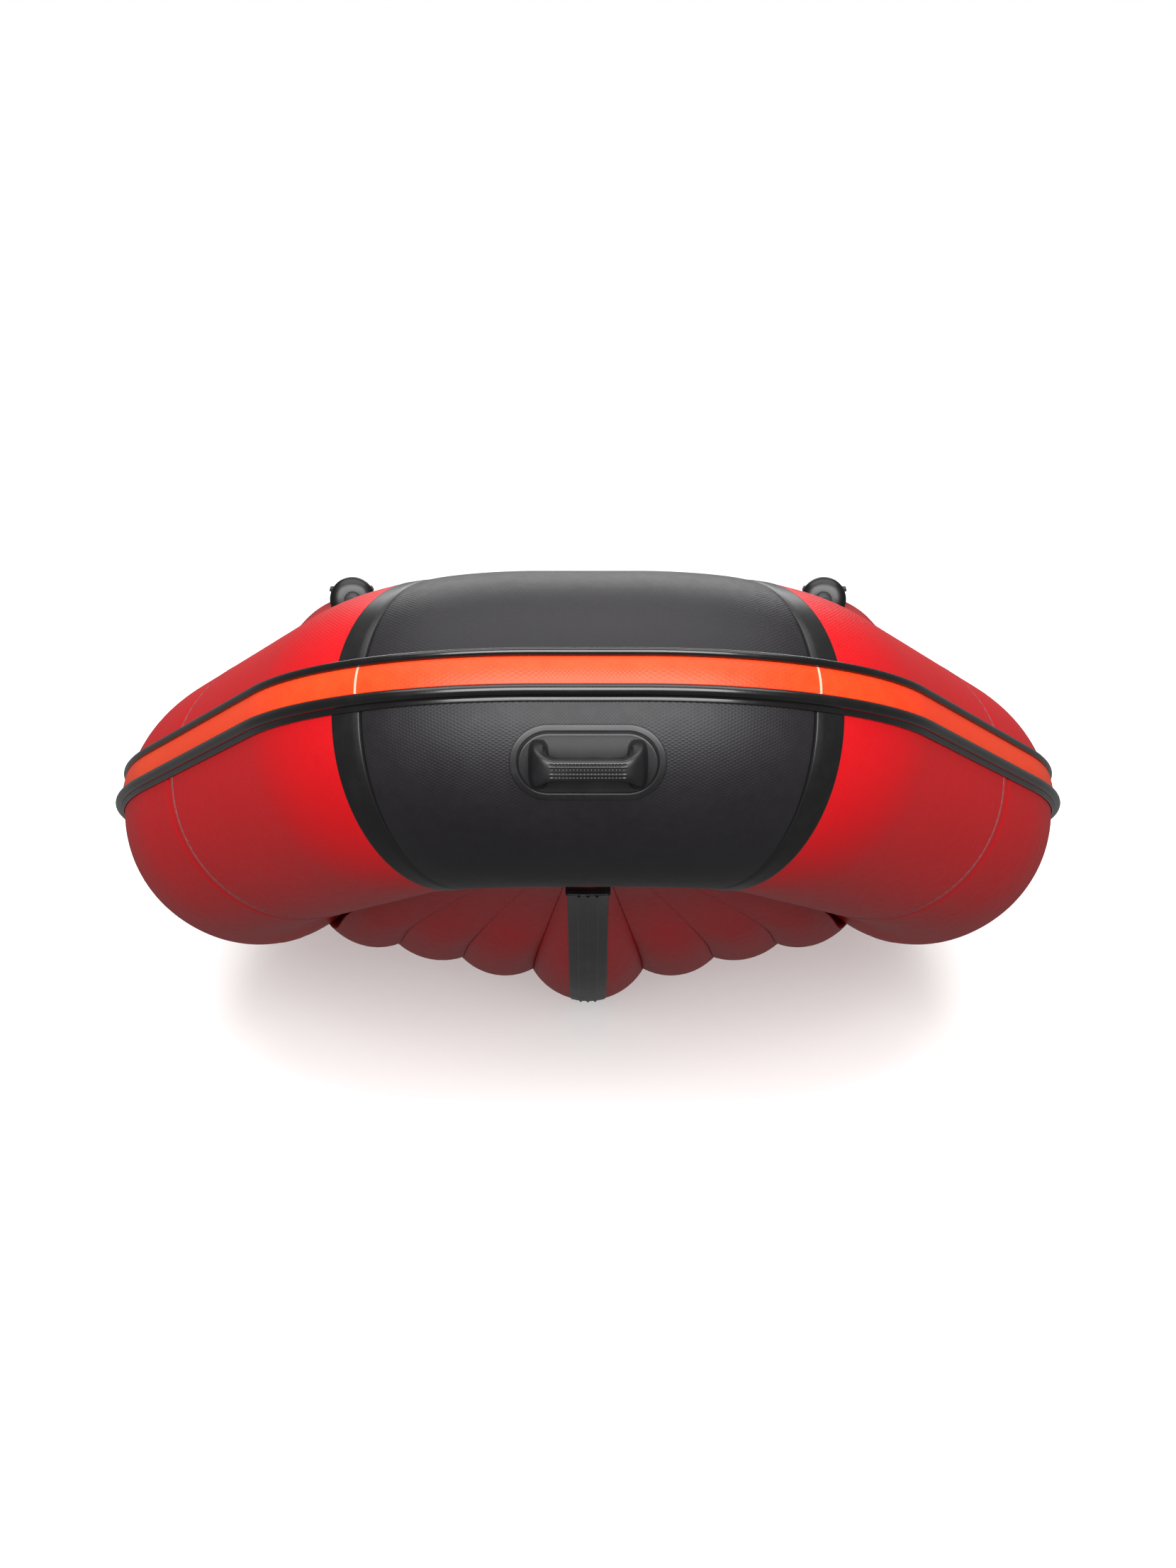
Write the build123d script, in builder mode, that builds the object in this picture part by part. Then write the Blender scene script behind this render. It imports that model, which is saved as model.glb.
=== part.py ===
"""Inflatable dinghy with an air floor, plywood transom, sliding thwarts and stowed oars.

Frame: X across (port is +X), Y fore and aft (the bow is at -Y), Z up. The origin lies
on the ground under the middle of the boat, and the keel guard rests on Z = 0.
All lengths are in millimetres and all angles in degrees.
"""

from build123d import *
from math import cos, degrees, radians, sin, sqrt
import os

os.makedirs("parts", exist_ok=True)

# Hull
overall_length = 3300.0
overall_beam = 1590.0
tube_diameter = 420.0
keel_drop = 120.0  # how far the keel hangs below the side tubes
bow_pitch = 22.5  # slope of the plane that the bow and shoulders lie in
rise_radius = 600.0  # bend that turns the level side tube up into that plane
bow_flat = 130.0  # straight length across the bow
corner_turn = 62.0  # plan angle between the bow and the shoulder
corner_fold = 20.0  # inner radius of that corner
shoulder_radius = 650.0
cone_length = 430.0
cone_tip_diameter = 124.0
cone_cap_length = 22.0
baffle_thickness = 1.5
soft_gap = 0.3  # between soft pieces that lie on each other
running_gap = 0.05  # radial gap of a pin in its hole
fastener_gap = 0.2  # radial gap of a bolt in its hole
panel_gap = 0.2  # between rigid pieces that are fastened together

# Bow seam tape and rub rail
tape_width = 42.0
tape_thickness = 0.4
rail_angle = 9.0  # how far above the tube's side the rail's middle lies
rail_backing = 2.0
rail_insert_height = 42.0
rail_insert_thickness = 3.0
rail_bead = 11.0
rail_keel_bead = 15.0
rail_flange = 9.0

# Air floor
floor_inset = 85.0  # how far inboard of the tube's axis the floor is glued on
floor_cell_edges = (0.22, 0.50, 0.75, 1.0)  # seams between cells, as shares of the half-width
floor_seam_heights = (0.44, 0.60, 0.79, 1.0)  # the same seams' heights, as shares of the depth
floor_crest_heights = (0.0, 0.35, 0.57, 0.75)  # lowest line of each cell
floor_side_height = 60.0
floor_bow_depth = 33.5  # depth and side height where the floor meets the bow corner
floor_bow_side = 30.0
floor_top_crown = 14.0
floor_top_edge = 0.84  # upper outer edge of the floor, as a share of the half-width
floor_toe_half_width = 150.0
floor_toe_height = 24.0
floor_toe_vee = 0.3  # share of the toe's height that is below its outer edges
floor_toe_setback = 40.0
toe_gap = 3.5
keel_guard_width = 62.0
keel_guard_thickness = 4.0

# Bow handle
handle_patch_length = 195.0
handle_patch_height = 97.0
handle_patch_thickness = 2.0
handle_boss_length = 171.0
handle_boss_height = 84.0
handle_boss_thickness = 3.0
handle_reach = 46.0  # from the tube to the front of the grip
handle_grip_length = 146.0
handle_grip_height = 26.0
handle_grip_depth = 15.0
handle_foot = 24.0
handle_grip_round = 9.0

# Transom
transom_thickness = 35.0
transom_setback = 17.0  # from the transom's back to the start of the stern cones
transom_height = 395.0
transom_ear_height = 470.0
transom_side_gap = 20.0  # between the board's end and the tube's inner side
transom_ear_width = 105.0
transom_ear_slope = 60.0  # width over which the ears slope down to the motor notch
transom_side_foot = 130.0
transom_keel_foot = 30.0
outer_pad = (250.0, 170.0, 8.0)
inner_pad = (230.0, 160.0, 5.0)
pad_top_drop = 6.0
transom_corner = 18.0
pad_corner = 12.0
transom_bolt = 8.0
bolt_x = 96.0
bolt_z = 58.0
bolt_head = 18.0
bolt_head_height = 5.0
bolt_head_round = 3.0
bolt_tail = 4.0
nut_across = 13.0
nut_height = 6.5
tow_eye_radius = 20.0
tow_eye_inset = 63.0  # from the end of the board
tow_eye_z = 330.0
tow_eye_neck = 10.0
holder_clearance = 4.0  # above the floor
holder_top = 455.0
holder_wall = 16.0
holder_overlap = 25.0
holder_tube_share = 0.72  # the holder reaches this share of the tube's radius from its axis
drain_x = -180.0
drain_bore = 24.0
drain_wall = 4.0
drain_flange = 56.0
drain_flange_thickness = 4.0
drain_flap_diameter = 44.0
drain_flap_thickness = 3.0
drain_pin = 3.0
drain_pin_standoff = 6.0
drain_pin_rise = 27.0
drain_ear = 3.0
drain_ear_radius = 5.0
drain_knuckle = 15.0
drain_knuckle_radius = 3.5
drain_clearance = 38.0  # from the floor up to the middle of the drain

# Seats
seat_setbacks = {"front": 1090.0, "rear": 446.0}  # forward of the transom
seat_width = 220.0
seat_thickness = 18.0
seat_corner = 22.0
seat_end_gap = 6.0
track_angle = 30.0  # above the tube's inner side
track_length = 1350.0
track_setback = 96.0  # forward of the transom
track_base_half_angle = 6.5
track_base_thickness = 2.0
track_neck = 3.0
track_bead = 9.0
track_bead_out = 13.0
clamp_length = 120.0
clamp_width = 28.0
clamp_start = 5.5
clamp_end = 32.0
track_clearance = 0.5
clamp_flange = 66.0
clamp_flange_thickness = 6.0

# Rowlocks and oars
rowlock_inset = 65.0  # inboard of the tube's axis
rowlock_setback = 746.0  # forward of the transom
rowlock_base = 118.0
rowlock_base_top = 556.0
rowlock_pin = 14.0
rowlock_pin_depth = 20.0
rowlock_base_round = 10.0
rowlock_cap = 24.0
rowlock_cap_height = 5.0
yoke_hub = 46.0
yoke_hub_height = 18.0
yoke_arm = 9.0
yoke_arm_width = 30.0
yoke_sleeve_gap = 2.0
oar_height = 640.0
oar_rake = 6.0  # how steeply the stowed oar slopes down to its blade
oar_yaw = 6.8  # how far the stowed oar is turned outboard
oar_shaft = 32.0
oar_wall = 1.5
oar_sleeve = 50.0
oar_sleeve_length = 52.0
oar_trunnion = 12.0
oar_grip_start = -470.0
oar_grip_length = 125.0
oar_grip_round = 5.0
oar_shaft_start = -455.0
oar_shaft_end = 690.0
oar_blade_start = 600.0
oar_blade_end = 1010.0
oar_blade_width = 112.0
oar_blade_thickness = 6.0
oar_blade_corner = 40.0
oar_socket = 40.0
oar_socket_wall = 12.0
oar_grip_diameter = 36.0
oar_collar_at = -62.0
oar_collar_diameter = 98.0
oar_collar_depth = 16.0
oar_collar_wall = 3.0

# Air valves
valve_flange = 64.0
valve_flange_thickness = 5.0
valve_barrel = 40.0
valve_bore = 28.0
valve_floor = 4.0
valve_cap = 54.0
valve_cap_height = 9.0
valve_cap_round = 3.0
valve_cap_grip = 8.0
valve_spigot = 3.0
valve_flange_sink = 10.0
valve_stem = 8.0
valve_head = 4.0
valve_head_depth = 30.0
valve_stem_top = 4.0
valve_travel = 5.0  # how far the plunger can be pressed in
valve_end_gap = 1.0
valve_grip_length = 43.0
side_valve_setback = 186.0  # forward of the transom
side_valve_angle = 40.0  # inboard of the tube's top
bow_valve_angle = 38.0  # above the bow tube's aft side
floor_valve_setback = 106.0

# Values worked out from the sizes above
tube_radius = tube_diameter / 2
side_x = overall_beam / 2 - tube_radius
side_z = keel_drop + tube_radius
corner_radius = tube_radius + corner_fold
shoulder_turn = 90.0 - corner_turn
side_seam_run = 148.0  # from the end of the shoulder turn to the side seam
turn = radians(corner_turn)
pitch = radians(bow_pitch)
diagonal = (side_x - bow_flat / 2 - corner_radius * sin(turn) - shoulder_radius * (1 - sin(turn))) / cos(turn)
plan_depth = corner_radius * (1 - cos(turn)) + diagonal * sin(turn) + shoulder_radius * cos(turn)
bow_y = -overall_length / 2 + tube_radius + handle_reach
bow_z = side_z + plan_depth * sin(pitch) + rise_radius * (1 - cos(pitch))
rise_y = bow_y + plan_depth * cos(pitch) + rise_radius * sin(pitch)
cone_y = overall_length / 2 - cone_cap_length - cone_length
valve_depth = valve_head_depth + valve_head + valve_travel + valve_end_gap + valve_floor
transom_back = cone_y - transom_setback
transom_front = transom_back - transom_thickness
transom_half_width = side_x - tube_radius - transom_side_gap
transom_ear_inner = transom_half_width - transom_ear_width
transom_notch_half = transom_ear_inner - transom_ear_slope
tow_eye_x = transom_half_width - tow_eye_inset
track_end = transom_front - track_setback
track_start = track_end - track_length
rowlock_x = side_x - rowlock_inset
rowlock_y = transom_front - rowlock_setback
side_valve_y = transom_front - side_valve_setback
floor_valve_y = transom_front - floor_valve_setback

# The hull line runs forward along the port tube's axis. Each leg is a straight run, a
# rise in the vertical plane or a turn in the plane of the bow.
legs = [
    ("straight", cone_y - rise_y, 0.0),
    ("rise", rise_radius, bow_pitch),
    ("turn", shoulder_radius, shoulder_turn),
    ("straight", side_seam_run, 0.0),
    ("straight", diagonal - side_seam_run, 0.0),
    ("turn", corner_radius, corner_turn / 2),
    ("turn", corner_radius, corner_turn / 2),
    ("straight", bow_flat / 2, 0.0),
]
RISE, SHOULDER, DIAGONAL, SIDE_SEAM, CORNER, BOW_SEAM = range(1, 7)
MIDDLE = len(legs)


def hub(station, leg):
    """Axis that a curved leg turns about."""
    kind, radius, angle = leg
    if kind == "rise":
        return Axis(station.origin + station.y_dir * radius, station.x_dir * -1)
    return Axis(station.origin - station.x_dir * radius, station.y_dir * -1)


def next_station(station, leg):
    """Plane at the end of a leg that starts on this plane."""
    kind, size, angle = leg
    if kind == "straight":
        return Plane(station.origin + station.z_dir * size, x_dir=station.x_dir, z_dir=station.z_dir)
    axis = hub(station, leg)
    spin = Axis((0, 0, 0), axis.direction)
    origin = axis.position + (station.origin - axis.position).rotate(spin, angle)
    return Plane(origin, x_dir=station.x_dir.rotate(spin, angle), z_dir=station.z_dir.rotate(spin, angle))


stations = [Plane((side_x, cone_y, side_z), x_dir=(1, 0, 0), z_dir=(0, -1, 0))]
for leg in legs:
    stations.append(next_station(stations[-1], leg))


def carry(section, first, last, mode=Mode.ADD):
    """Carries a section along the hull line from one station to another."""
    for at in range(first, last):
        kind, size, angle = legs[at]
        with BuildSketch(stations[at]) as placed:
            add(section)
        if kind == "straight":
            extrude(placed.sketch, amount=size, mode=mode)
        else:
            revolve(placed.sketch, axis=hub(stations[at], legs[at]), revolution_arc=angle, mode=mode)


def disc(radius):
    with BuildSketch() as section:
        Circle(radius)
    return section.sketch


def ring(inner, outer):
    with BuildSketch() as section:
        Circle(outer)
        Circle(inner, mode=Mode.SUBTRACT)
    return section.sketch


def across(y):
    """Plane across the boat at a distance aft, with its axes along X and Z."""
    return Plane((0, y, 0), x_dir=(1, 0, 0), z_dir=(0, -1, 0))


def write(part, name):
    part.label = name
    export_step(part, f"parts/{name}.step")


def write_pair(part, name):
    """Writes the port piece and its mirror image on the starboard side."""
    write(part, f"port_{name}")
    write(mirror(part, about=Plane.YZ), f"starboard_{name}")


# Places of the air valves: each frame starts on a tube's axis and points out of the boat
def side_valve_frame(side):
    angle = radians(side_valve_angle)
    out = (-side * sin(angle), 0, cos(angle))
    return Plane((side * side_x, side_valve_y, side_z), x_dir=(0, 1, 0), z_dir=out)


bow_valve_frame = Plane(
    (0, bow_y, bow_z),
    x_dir=(1, 0, 0),
    z_dir=(0, cos(radians(bow_valve_angle)), sin(radians(bow_valve_angle))),
)


def valve_hole(frame, surface):
    """Cuts the pocket that a valve barrel sits in."""
    with BuildSketch(frame.offset(surface - valve_depth - soft_gap)) as pocket:
        Circle(valve_barrel / 2 + soft_gap)
    extrude(pocket.sketch, amount=valve_depth * 2, mode=Mode.SUBTRACT)


# Tubes: welded fabric panels, each modelled as the closed shape of its air
tube_section = disc(tube_radius)

with BuildPart() as bow_tube:
    carry(tube_section, BOW_SEAM, MIDDLE)
    mirror(about=Plane.YZ)
    valve_hole(bow_valve_frame, tube_radius)
write(bow_tube.part, "bow_tube")

with BuildPart() as shoulder_tube:
    carry(tube_section, SIDE_SEAM, BOW_SEAM)
    with BuildSketch(stations[SIDE_SEAM]):
        Circle(tube_diameter)
    extrude(amount=baffle_thickness, mode=Mode.SUBTRACT)
write_pair(shoulder_tube.part, "shoulder_tube")

with BuildPart() as side_tube:
    carry(tube_section, 0, SIDE_SEAM)
    valve_hole(side_valve_frame(1), tube_radius)
write_pair(side_tube.part, "side_tube")

with BuildPart() as stern_cone:
    with BuildSketch(stations[0]):
        Circle(tube_radius)
    with BuildSketch(stations[0].offset(-cone_length)):
        Circle(cone_tip_diameter / 2)
    loft()
write_pair(stern_cone.part, "stern_cone")

with BuildPart() as stern_cone_caps:
    with BuildSketch(stations[0].offset(-cone_length)):
        Circle(cone_tip_diameter / 2)
    extrude(amount=-cone_cap_length)
    fillet(stern_cone_caps.edges().sort_by(Axis.Y)[-1], radius=cone_cap_length / 2)
    mirror(about=Plane.YZ)
write(stern_cone_caps.part, "stern_cone_caps")

with BuildPart() as tube_baffles:
    with BuildSketch(stations[SIDE_SEAM]):
        Circle(tube_radius - soft_gap)
    extrude(amount=baffle_thickness)
    mirror(about=Plane.YZ)
write(tube_baffles.part, "tube_baffles")

# Bow seam tapes: bands of black fabric that close the seams beside the bow panel
tape_inner = tube_radius + running_gap
tape_outer = tape_inner + tape_thickness
tape_turn = degrees(tape_width / (corner_radius + tube_radius))

with BuildPart() as bow_seam_tapes:
    with BuildSketch(stations[BOW_SEAM]) as tape_section:
        add(ring(tape_inner, tape_outer))
    revolve(axis=hub(stations[BOW_SEAM], legs[BOW_SEAM]), revolution_arc=-tape_turn)
    mirror(about=Plane.YZ)
write(bow_seam_tapes.part, "bow_seam_tapes")

# Rub rail: a black extruded profile with two beads, and a coloured insert between them
rail_inner = tape_outer + panel_gap
rail_face = rail_inner + rail_backing
rail_half_turn = degrees(rail_insert_height / 2 / rail_face)
bead_step = degrees((rail_insert_height + rail_bead) / 2 / rail_face)
keel_bead_step = degrees((rail_insert_height + rail_keel_bead) / 2 / rail_face)
flange_turn = degrees((rail_insert_height / 2 + rail_keel_bead + rail_flange) / rail_face)


def sector(inner, outer, low, high):
    """Curved strip between two radii and two angles about the tube's axis."""
    with BuildSketch() as section:
        with BuildLine():
            start = PolarLine((0, 0), inner, low, mode=Mode.PRIVATE) @ 1
            lower = Line(start, PolarLine((0, 0), outer, low, mode=Mode.PRIVATE) @ 1)
            rim = CenterArc((0, 0), outer, low, high - low)
            upper = Line(rim @ 1, PolarLine((0, 0), inner, high, mode=Mode.PRIVATE) @ 1)
            CenterArc((0, 0), inner, low, high - low)
        make_face()
    return section.sketch


def around(radius, angle):
    """Point at a radius and an angle about the tube's axis."""
    return (radius * cos(radians(angle)), radius * sin(radians(angle)))


with BuildSketch() as rail_section:
    add(sector(rail_inner, rail_face, rail_angle - flange_turn, rail_angle + bead_step))
    with Locations(around(rail_face + rail_bead / 2 - rail_backing, rail_angle + bead_step)):
        Circle(rail_bead / 2)
    with Locations(around(rail_face + rail_keel_bead / 2 - rail_backing, rail_angle - keel_bead_step)):
        Circle(rail_keel_bead / 2)

insert_turn = rail_half_turn - degrees(panel_gap / rail_face)
rail_insert_section = sector(
    rail_face + running_gap,
    rail_face + rail_insert_thickness,
    rail_angle - insert_turn,
    rail_angle + insert_turn,
)

with BuildPart() as rub_rail:
    carry(rail_section.sketch, 0, MIDDLE)
    mirror(about=Plane.YZ)
write(rub_rail.part, "rub_rail")

with BuildPart() as rub_rail_insert:
    carry(rail_insert_section, 0, MIDDLE)
    mirror(about=Plane.YZ)
write(rub_rail_insert.part, "rub_rail_insert")

# Air floor: seven lengthwise cells that share upright webs. Ribs are its sections across.
glue_height = sqrt(tube_radius**2 - floor_inset**2)
floor_depth = side_z - glue_height - keel_guard_thickness
slant = sin(turn)


def rib(y, half_width, edge_z, depth, side):
    """Half-width, keel height, depth and side height of the floor's section at one place."""
    return {"y": y, "half": half_width, "keel": edge_z - depth, "depth": depth, "side": side}


def rib_at(index, inset, depth, side):
    """Rib where the hull line passes one of its stations."""
    place = stations[index].origin
    return rib(place.Y, place.X - inset, place.Z - glue_height, depth, side)


toe_edge = bow_z - sqrt(tube_radius**2 - floor_toe_setback**2) - soft_gap
level_rib = rib_at(RISE, floor_inset, floor_depth, floor_side_height)
toe_depth = floor_toe_height * floor_toe_vee
toe_side = floor_toe_height - toe_depth - toe_gap
ribs = [
    level_rib,
    rib_at(SHOULDER, floor_inset, floor_depth, floor_side_height),
    rib_at(DIAGONAL, floor_inset / slant, floor_depth, floor_side_height),
    rib_at(CORNER, floor_inset / slant, floor_bow_depth, floor_bow_side),
    rib(bow_y + floor_toe_setback, floor_toe_half_width, toe_edge - toe_side - toe_gap, toe_depth, toe_side),
]


def floor_point(section, share, height_share):
    """Point on the underside, from shares of the half-width and of the depth."""
    return (section["half"] * share, section["keel"] + section["depth"] * height_share)


def cell_section(section, cell):
    """Outline of one cell on one rib: cell 0 is the keel cell, 3 the outermost."""
    inner = 0.0 if cell == 0 else floor_cell_edges[cell - 1]
    inner_height = 0.0 if cell == 0 else floor_seam_heights[cell - 1]
    outer = floor_cell_edges[cell]
    web = soft_gap
    crown = min(floor_top_crown, section["side"])
    top = section["keel"] + section["depth"] + section["side"] - crown
    low_out = floor_point(section, outer, floor_seam_heights[cell])
    low_out = (low_out[0] - web, low_out[1])
    high_out = (low_out[0] * (floor_top_edge if cell == 3 else 1.0), top)
    low_mid = floor_point(section, (inner + outer) / 2, floor_crest_heights[cell])
    low_in = floor_point(section, inner, inner_height)
    low_in = (low_in[0] + web, low_in[1])
    if cell == 0:
        low_mid = (0.0, section["keel"])
        low_in = (-low_out[0], low_out[1])
    high_in = (low_in[0], top)
    high_mid = ((high_in[0] + high_out[0]) / 2, top + crown)
    with BuildSketch(across(section["y"])) as outline:
        with BuildLine():
            ThreePointArc(low_in, low_mid, low_out)
            Line(low_out, high_out)
            ThreePointArc(high_out, high_mid, high_in)
            Line(high_in, low_in)
        make_face()
    return outline.sketch


def floor_cell(cell):
    """One cell: a level run from the transom, lofted up under the bow."""
    sections = [cell_section(section, cell) for section in ribs]
    aft_run = transom_front - soft_gap - level_rib["y"]
    extrude(sections[0], amount=-aft_run)
    loft(sections)


tube_envelope_section = disc(tape_outer + panel_gap)

with BuildPart() as hull_envelope:
    carry(tube_envelope_section, 0, MIDDLE)
    mirror(about=Plane.YZ)

valve_cell_x = (floor_cell_edges[1] + floor_cell_edges[2]) / 2 * level_rib["half"]
floor_top = level_rib["keel"] + level_rib["depth"] + level_rib["side"]
floor_valve_frame = Plane((valve_cell_x, floor_valve_y, floor_top), x_dir=(0, 1, 0), z_dir=(0, 0, 1))

with BuildPart() as keel_cell:
    floor_cell(0)
    add(hull_envelope.part, mode=Mode.SUBTRACT)
write(keel_cell.part, "keel_cell")

cell_names = ("keel", "inner", "middle", "outer")
inboard_cell = keel_cell.part
for cell in (1, 2, 3):
    with BuildPart() as side_cell:
        floor_cell(cell)
        add(hull_envelope.part, mode=Mode.SUBTRACT)
        add(inboard_cell, mode=Mode.SUBTRACT)
    inboard_cell = side_cell.part
    write(mirror(side_cell.part, about=Plane.YZ), f"starboard_{cell_names[cell]}_cell")
    with BuildPart() as port_cell:
        add(side_cell.part)
        if cell == 2:
            valve_hole(floor_valve_frame, 0.0)
    write(port_cell.part, f"port_{cell_names[cell]}_cell")

# Keel guard: a ribbed rubber strip glued along the keel cell's lowest line
guard_half = keel_guard_width / 2


def guard_section(section):
    """Strip that follows the keel cell's round underside."""
    edge = floor_point(section, floor_cell_edges[0], floor_seam_heights[0])
    sag = edge[1] - section["keel"]
    radius = (edge[0] ** 2 + sag**2) / (2 * sag)
    span = degrees(guard_half / radius)
    with BuildSketch(across(section["y"])) as outline:
        with Locations((0, section["keel"] + radius)):
            add(sector(radius + soft_gap / 2, radius + keel_guard_thickness, -90 - span, -90 + span))
    return outline.sketch


with BuildPart() as keel_guard:
    guard_sections = [guard_section(section) for section in ribs]
    extrude(guard_sections[0], amount=-(transom_front - soft_gap - level_rib["y"]))
    loft(guard_sections)
    add(hull_envelope.part, mode=Mode.SUBTRACT)
    add(keel_cell.part, mode=Mode.SUBTRACT)
write(keel_guard.part, "keel_guard")

# Bow handle: a moulded patch with a raised boss, and a grip bar on two feet
patch_inner = tube_radius + running_gap
patch_outer = patch_inner + handle_patch_thickness
boss_outer = patch_outer + handle_boss_thickness


def handle_plate(inner, outer, length, height):
    """Slot-shaped plate that follows the front of the bow tube."""
    carry(ring(inner, outer), BOW_SEAM, MIDDLE)
    mirror(about=Plane.YZ)
    with BuildSketch(across(bow_y)) as outline:
        with Locations((0, bow_z)):
            SlotOverall(length, height)
    extrude(outline.sketch, amount=tube_diameter, mode=Mode.INTERSECT)


with BuildPart() as handle_boss:
    handle_plate(patch_outer, boss_outer, handle_boss_length, handle_boss_height)

with BuildPart() as bow_handle_base:
    handle_plate(patch_inner, patch_outer, handle_patch_length, handle_patch_height)
    add(handle_boss.part)
write(bow_handle_base.part, "bow_handle_base")

with BuildPart() as bow_handle_grip:
    grip_front = bow_y - tube_radius - handle_reach
    with BuildSketch(Plane.XY.offset(bow_z - handle_grip_height / 2)):
        with Locations((0, grip_front)):
            Rectangle(handle_grip_length / 2, tube_radius, align=Align.MIN)
        with Locations((0, grip_front + handle_grip_depth)):
            Rectangle(handle_grip_length / 2 - handle_foot, tube_radius, align=Align.MIN, mode=Mode.SUBTRACT)
    extrude(amount=handle_grip_height)
    carry(disc(boss_outer + running_gap), BOW_SEAM, MIDDLE, mode=Mode.SUBTRACT)
    mirror(about=Plane.YZ)
    front_edges = bow_handle_grip.edges().filter_by(Axis.Z).group_by(Axis.Y)[0]
    fillet(front_edges, radius=handle_grip_round)
write(bow_handle_grip.part, "bow_handle_grip")

# Transom: a plywood board between the side tubes, with motor pads, tow eyes and a drain
pad_middle_z = transom_height - pad_top_drop - outer_pad[1] / 2
drain_height = floor_top + floor_top_crown + drain_clearance
bolt_places = [(x, pad_middle_z + z) for x in (-bolt_x, bolt_x) for z in (-bolt_z, bolt_z)]
eye_places = [(x, tow_eye_z + z) for x in (-tow_eye_x, tow_eye_x) for z in (-tow_eye_radius, tow_eye_radius)]
drain_outer = drain_bore / 2 + drain_wall
nut_face = transom_front - panel_gap
pad_back = transom_back + panel_gap + outer_pad[2]
pad_front = transom_front - panel_gap - inner_pad[2]

with BuildPart() as transom_board:
    half_outline = [
        (0, transom_keel_foot),
        (transom_half_width, transom_side_foot),
        (transom_half_width, transom_ear_height),
        (transom_ear_inner, transom_ear_height),
        (transom_notch_half, transom_height),
    ]
    other_half = [(-x, z) for x, z in reversed(half_outline[1:])]
    with BuildSketch(across(transom_back)) as board_outline:
        with BuildLine():
            Polyline(*half_outline, *other_half, close=True)
        make_face()
        fillet(board_outline.vertices().group_by(Axis.Z)[-1], radius=transom_corner)
        with Locations(*bolt_places, *eye_places):
            Circle(transom_bolt / 2 + fastener_gap, mode=Mode.SUBTRACT)
        with Locations((drain_x, drain_height)):
            Circle(drain_outer + fastener_gap, mode=Mode.SUBTRACT)
    extrude(amount=transom_thickness)
write(transom_board.part, "transom_board")


def motor_pad(size, face):
    """Plate bolted to the transom, from the face it starts on towards the bow."""
    width, height, thickness = size
    with BuildSketch(across(face)) as outline:
        with Locations((0, transom_height - pad_top_drop - height / 2)):
            RectangleRounded(width, height, pad_corner)
        with Locations(*bolt_places):
            Circle(transom_bolt / 2 + fastener_gap, mode=Mode.SUBTRACT)
    extrude(outline.sketch, amount=thickness)


with BuildPart() as transom_outer_pad:
    motor_pad(outer_pad, pad_back)
write(transom_outer_pad.part, "transom_outer_pad")

with BuildPart() as transom_inner_pad:
    motor_pad(inner_pad, transom_front - panel_gap)
write(transom_inner_pad.part, "transom_inner_pad")

with BuildPart() as transom_bolts:
    bolt_reach = pad_back - pad_front + nut_height + bolt_tail
    with BuildSketch(across(pad_back)):
        with Locations(*bolt_places):
            Circle(transom_bolt / 2)
    extrude(amount=bolt_reach)
    with BuildSketch(across(pad_back + panel_gap)):
        with Locations(*bolt_places):
            Circle(bolt_head / 2)
    extrude(amount=-bolt_head_height)
    with BuildSketch(across(pad_back + panel_gap)):
        with Locations(*bolt_places):
            Circle(transom_bolt / 2)
    extrude(amount=panel_gap)
    fillet(transom_bolts.faces().sort_by(Axis.Y)[-4:].edges(), radius=bolt_head_round)
write(transom_bolts.part, "transom_bolts")


def nuts(places, face):
    """Hexagon nuts against a face, on the bow side of it."""
    with BuildSketch(across(face)) as outline:
        with Locations(*places):
            RegularPolygon(nut_across / 2, 6, major_radius=False)
            Circle(transom_bolt / 2 + running_gap, mode=Mode.SUBTRACT)
    extrude(outline.sketch, amount=nut_height)


with BuildPart() as transom_nuts:
    nuts(bolt_places, pad_front - panel_gap)
    nuts(eye_places, nut_face)
write(transom_nuts.part, "transom_nuts")

with BuildPart() as tow_eyes:
    eye_neck = transom_back + tow_eye_neck
    for x in (-tow_eye_x, tow_eye_x):
        with BuildSketch(across(eye_neck)):
            with Locations((x, tow_eye_z - tow_eye_radius), (x, tow_eye_z + tow_eye_radius)):
                Circle(transom_bolt / 2)
        extrude(amount=eye_neck - transom_front + nut_height + bolt_tail)
        with BuildSketch(across(eye_neck)) as eye_bar:
            with Locations((x, tow_eye_z + tow_eye_radius)):
                Circle(transom_bolt / 2)
        revolve(eye_bar.sketch, axis=Axis((x, eye_neck, tow_eye_z), (-1, 0, 0)), revolution_arc=180)
write(tow_eyes.part, "tow_eyes")

with BuildPart() as transom_holders:
    holder_foot = floor_top + floor_top_crown + holder_clearance
    holder_inner = transom_half_width - holder_overlap
    holder_width = side_x - tube_radius * holder_tube_share - holder_inner
    with BuildSketch(across(transom_back + holder_wall)):
        with Locations((holder_inner, holder_foot)):
            Rectangle(holder_width, holder_top - holder_foot, align=Align.MIN)
    extrude(amount=transom_thickness + 2 * holder_wall)
    with BuildSketch(across(transom_back + panel_gap)):
        Rectangle(transom_half_width + panel_gap, transom_ear_height * 2, align=Align.MIN)
    extrude(amount=transom_thickness + 2 * panel_gap, mode=Mode.SUBTRACT)
    add(hull_envelope.part, mode=Mode.SUBTRACT)
    mirror(about=Plane.YZ)
write(transom_holders.part, "transom_holders")

# Drain: a flanged tube through the transom, with a flap that hangs on a pin behind it
drain_back = transom_back + panel_gap + drain_flange_thickness
pin_y = drain_back + drain_pin_standoff
pin_z = drain_height + drain_pin_rise
pin_line = Plane((drain_x, pin_y, pin_z), x_dir=(0, 1, 0), z_dir=(1, 0, 0))

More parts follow.
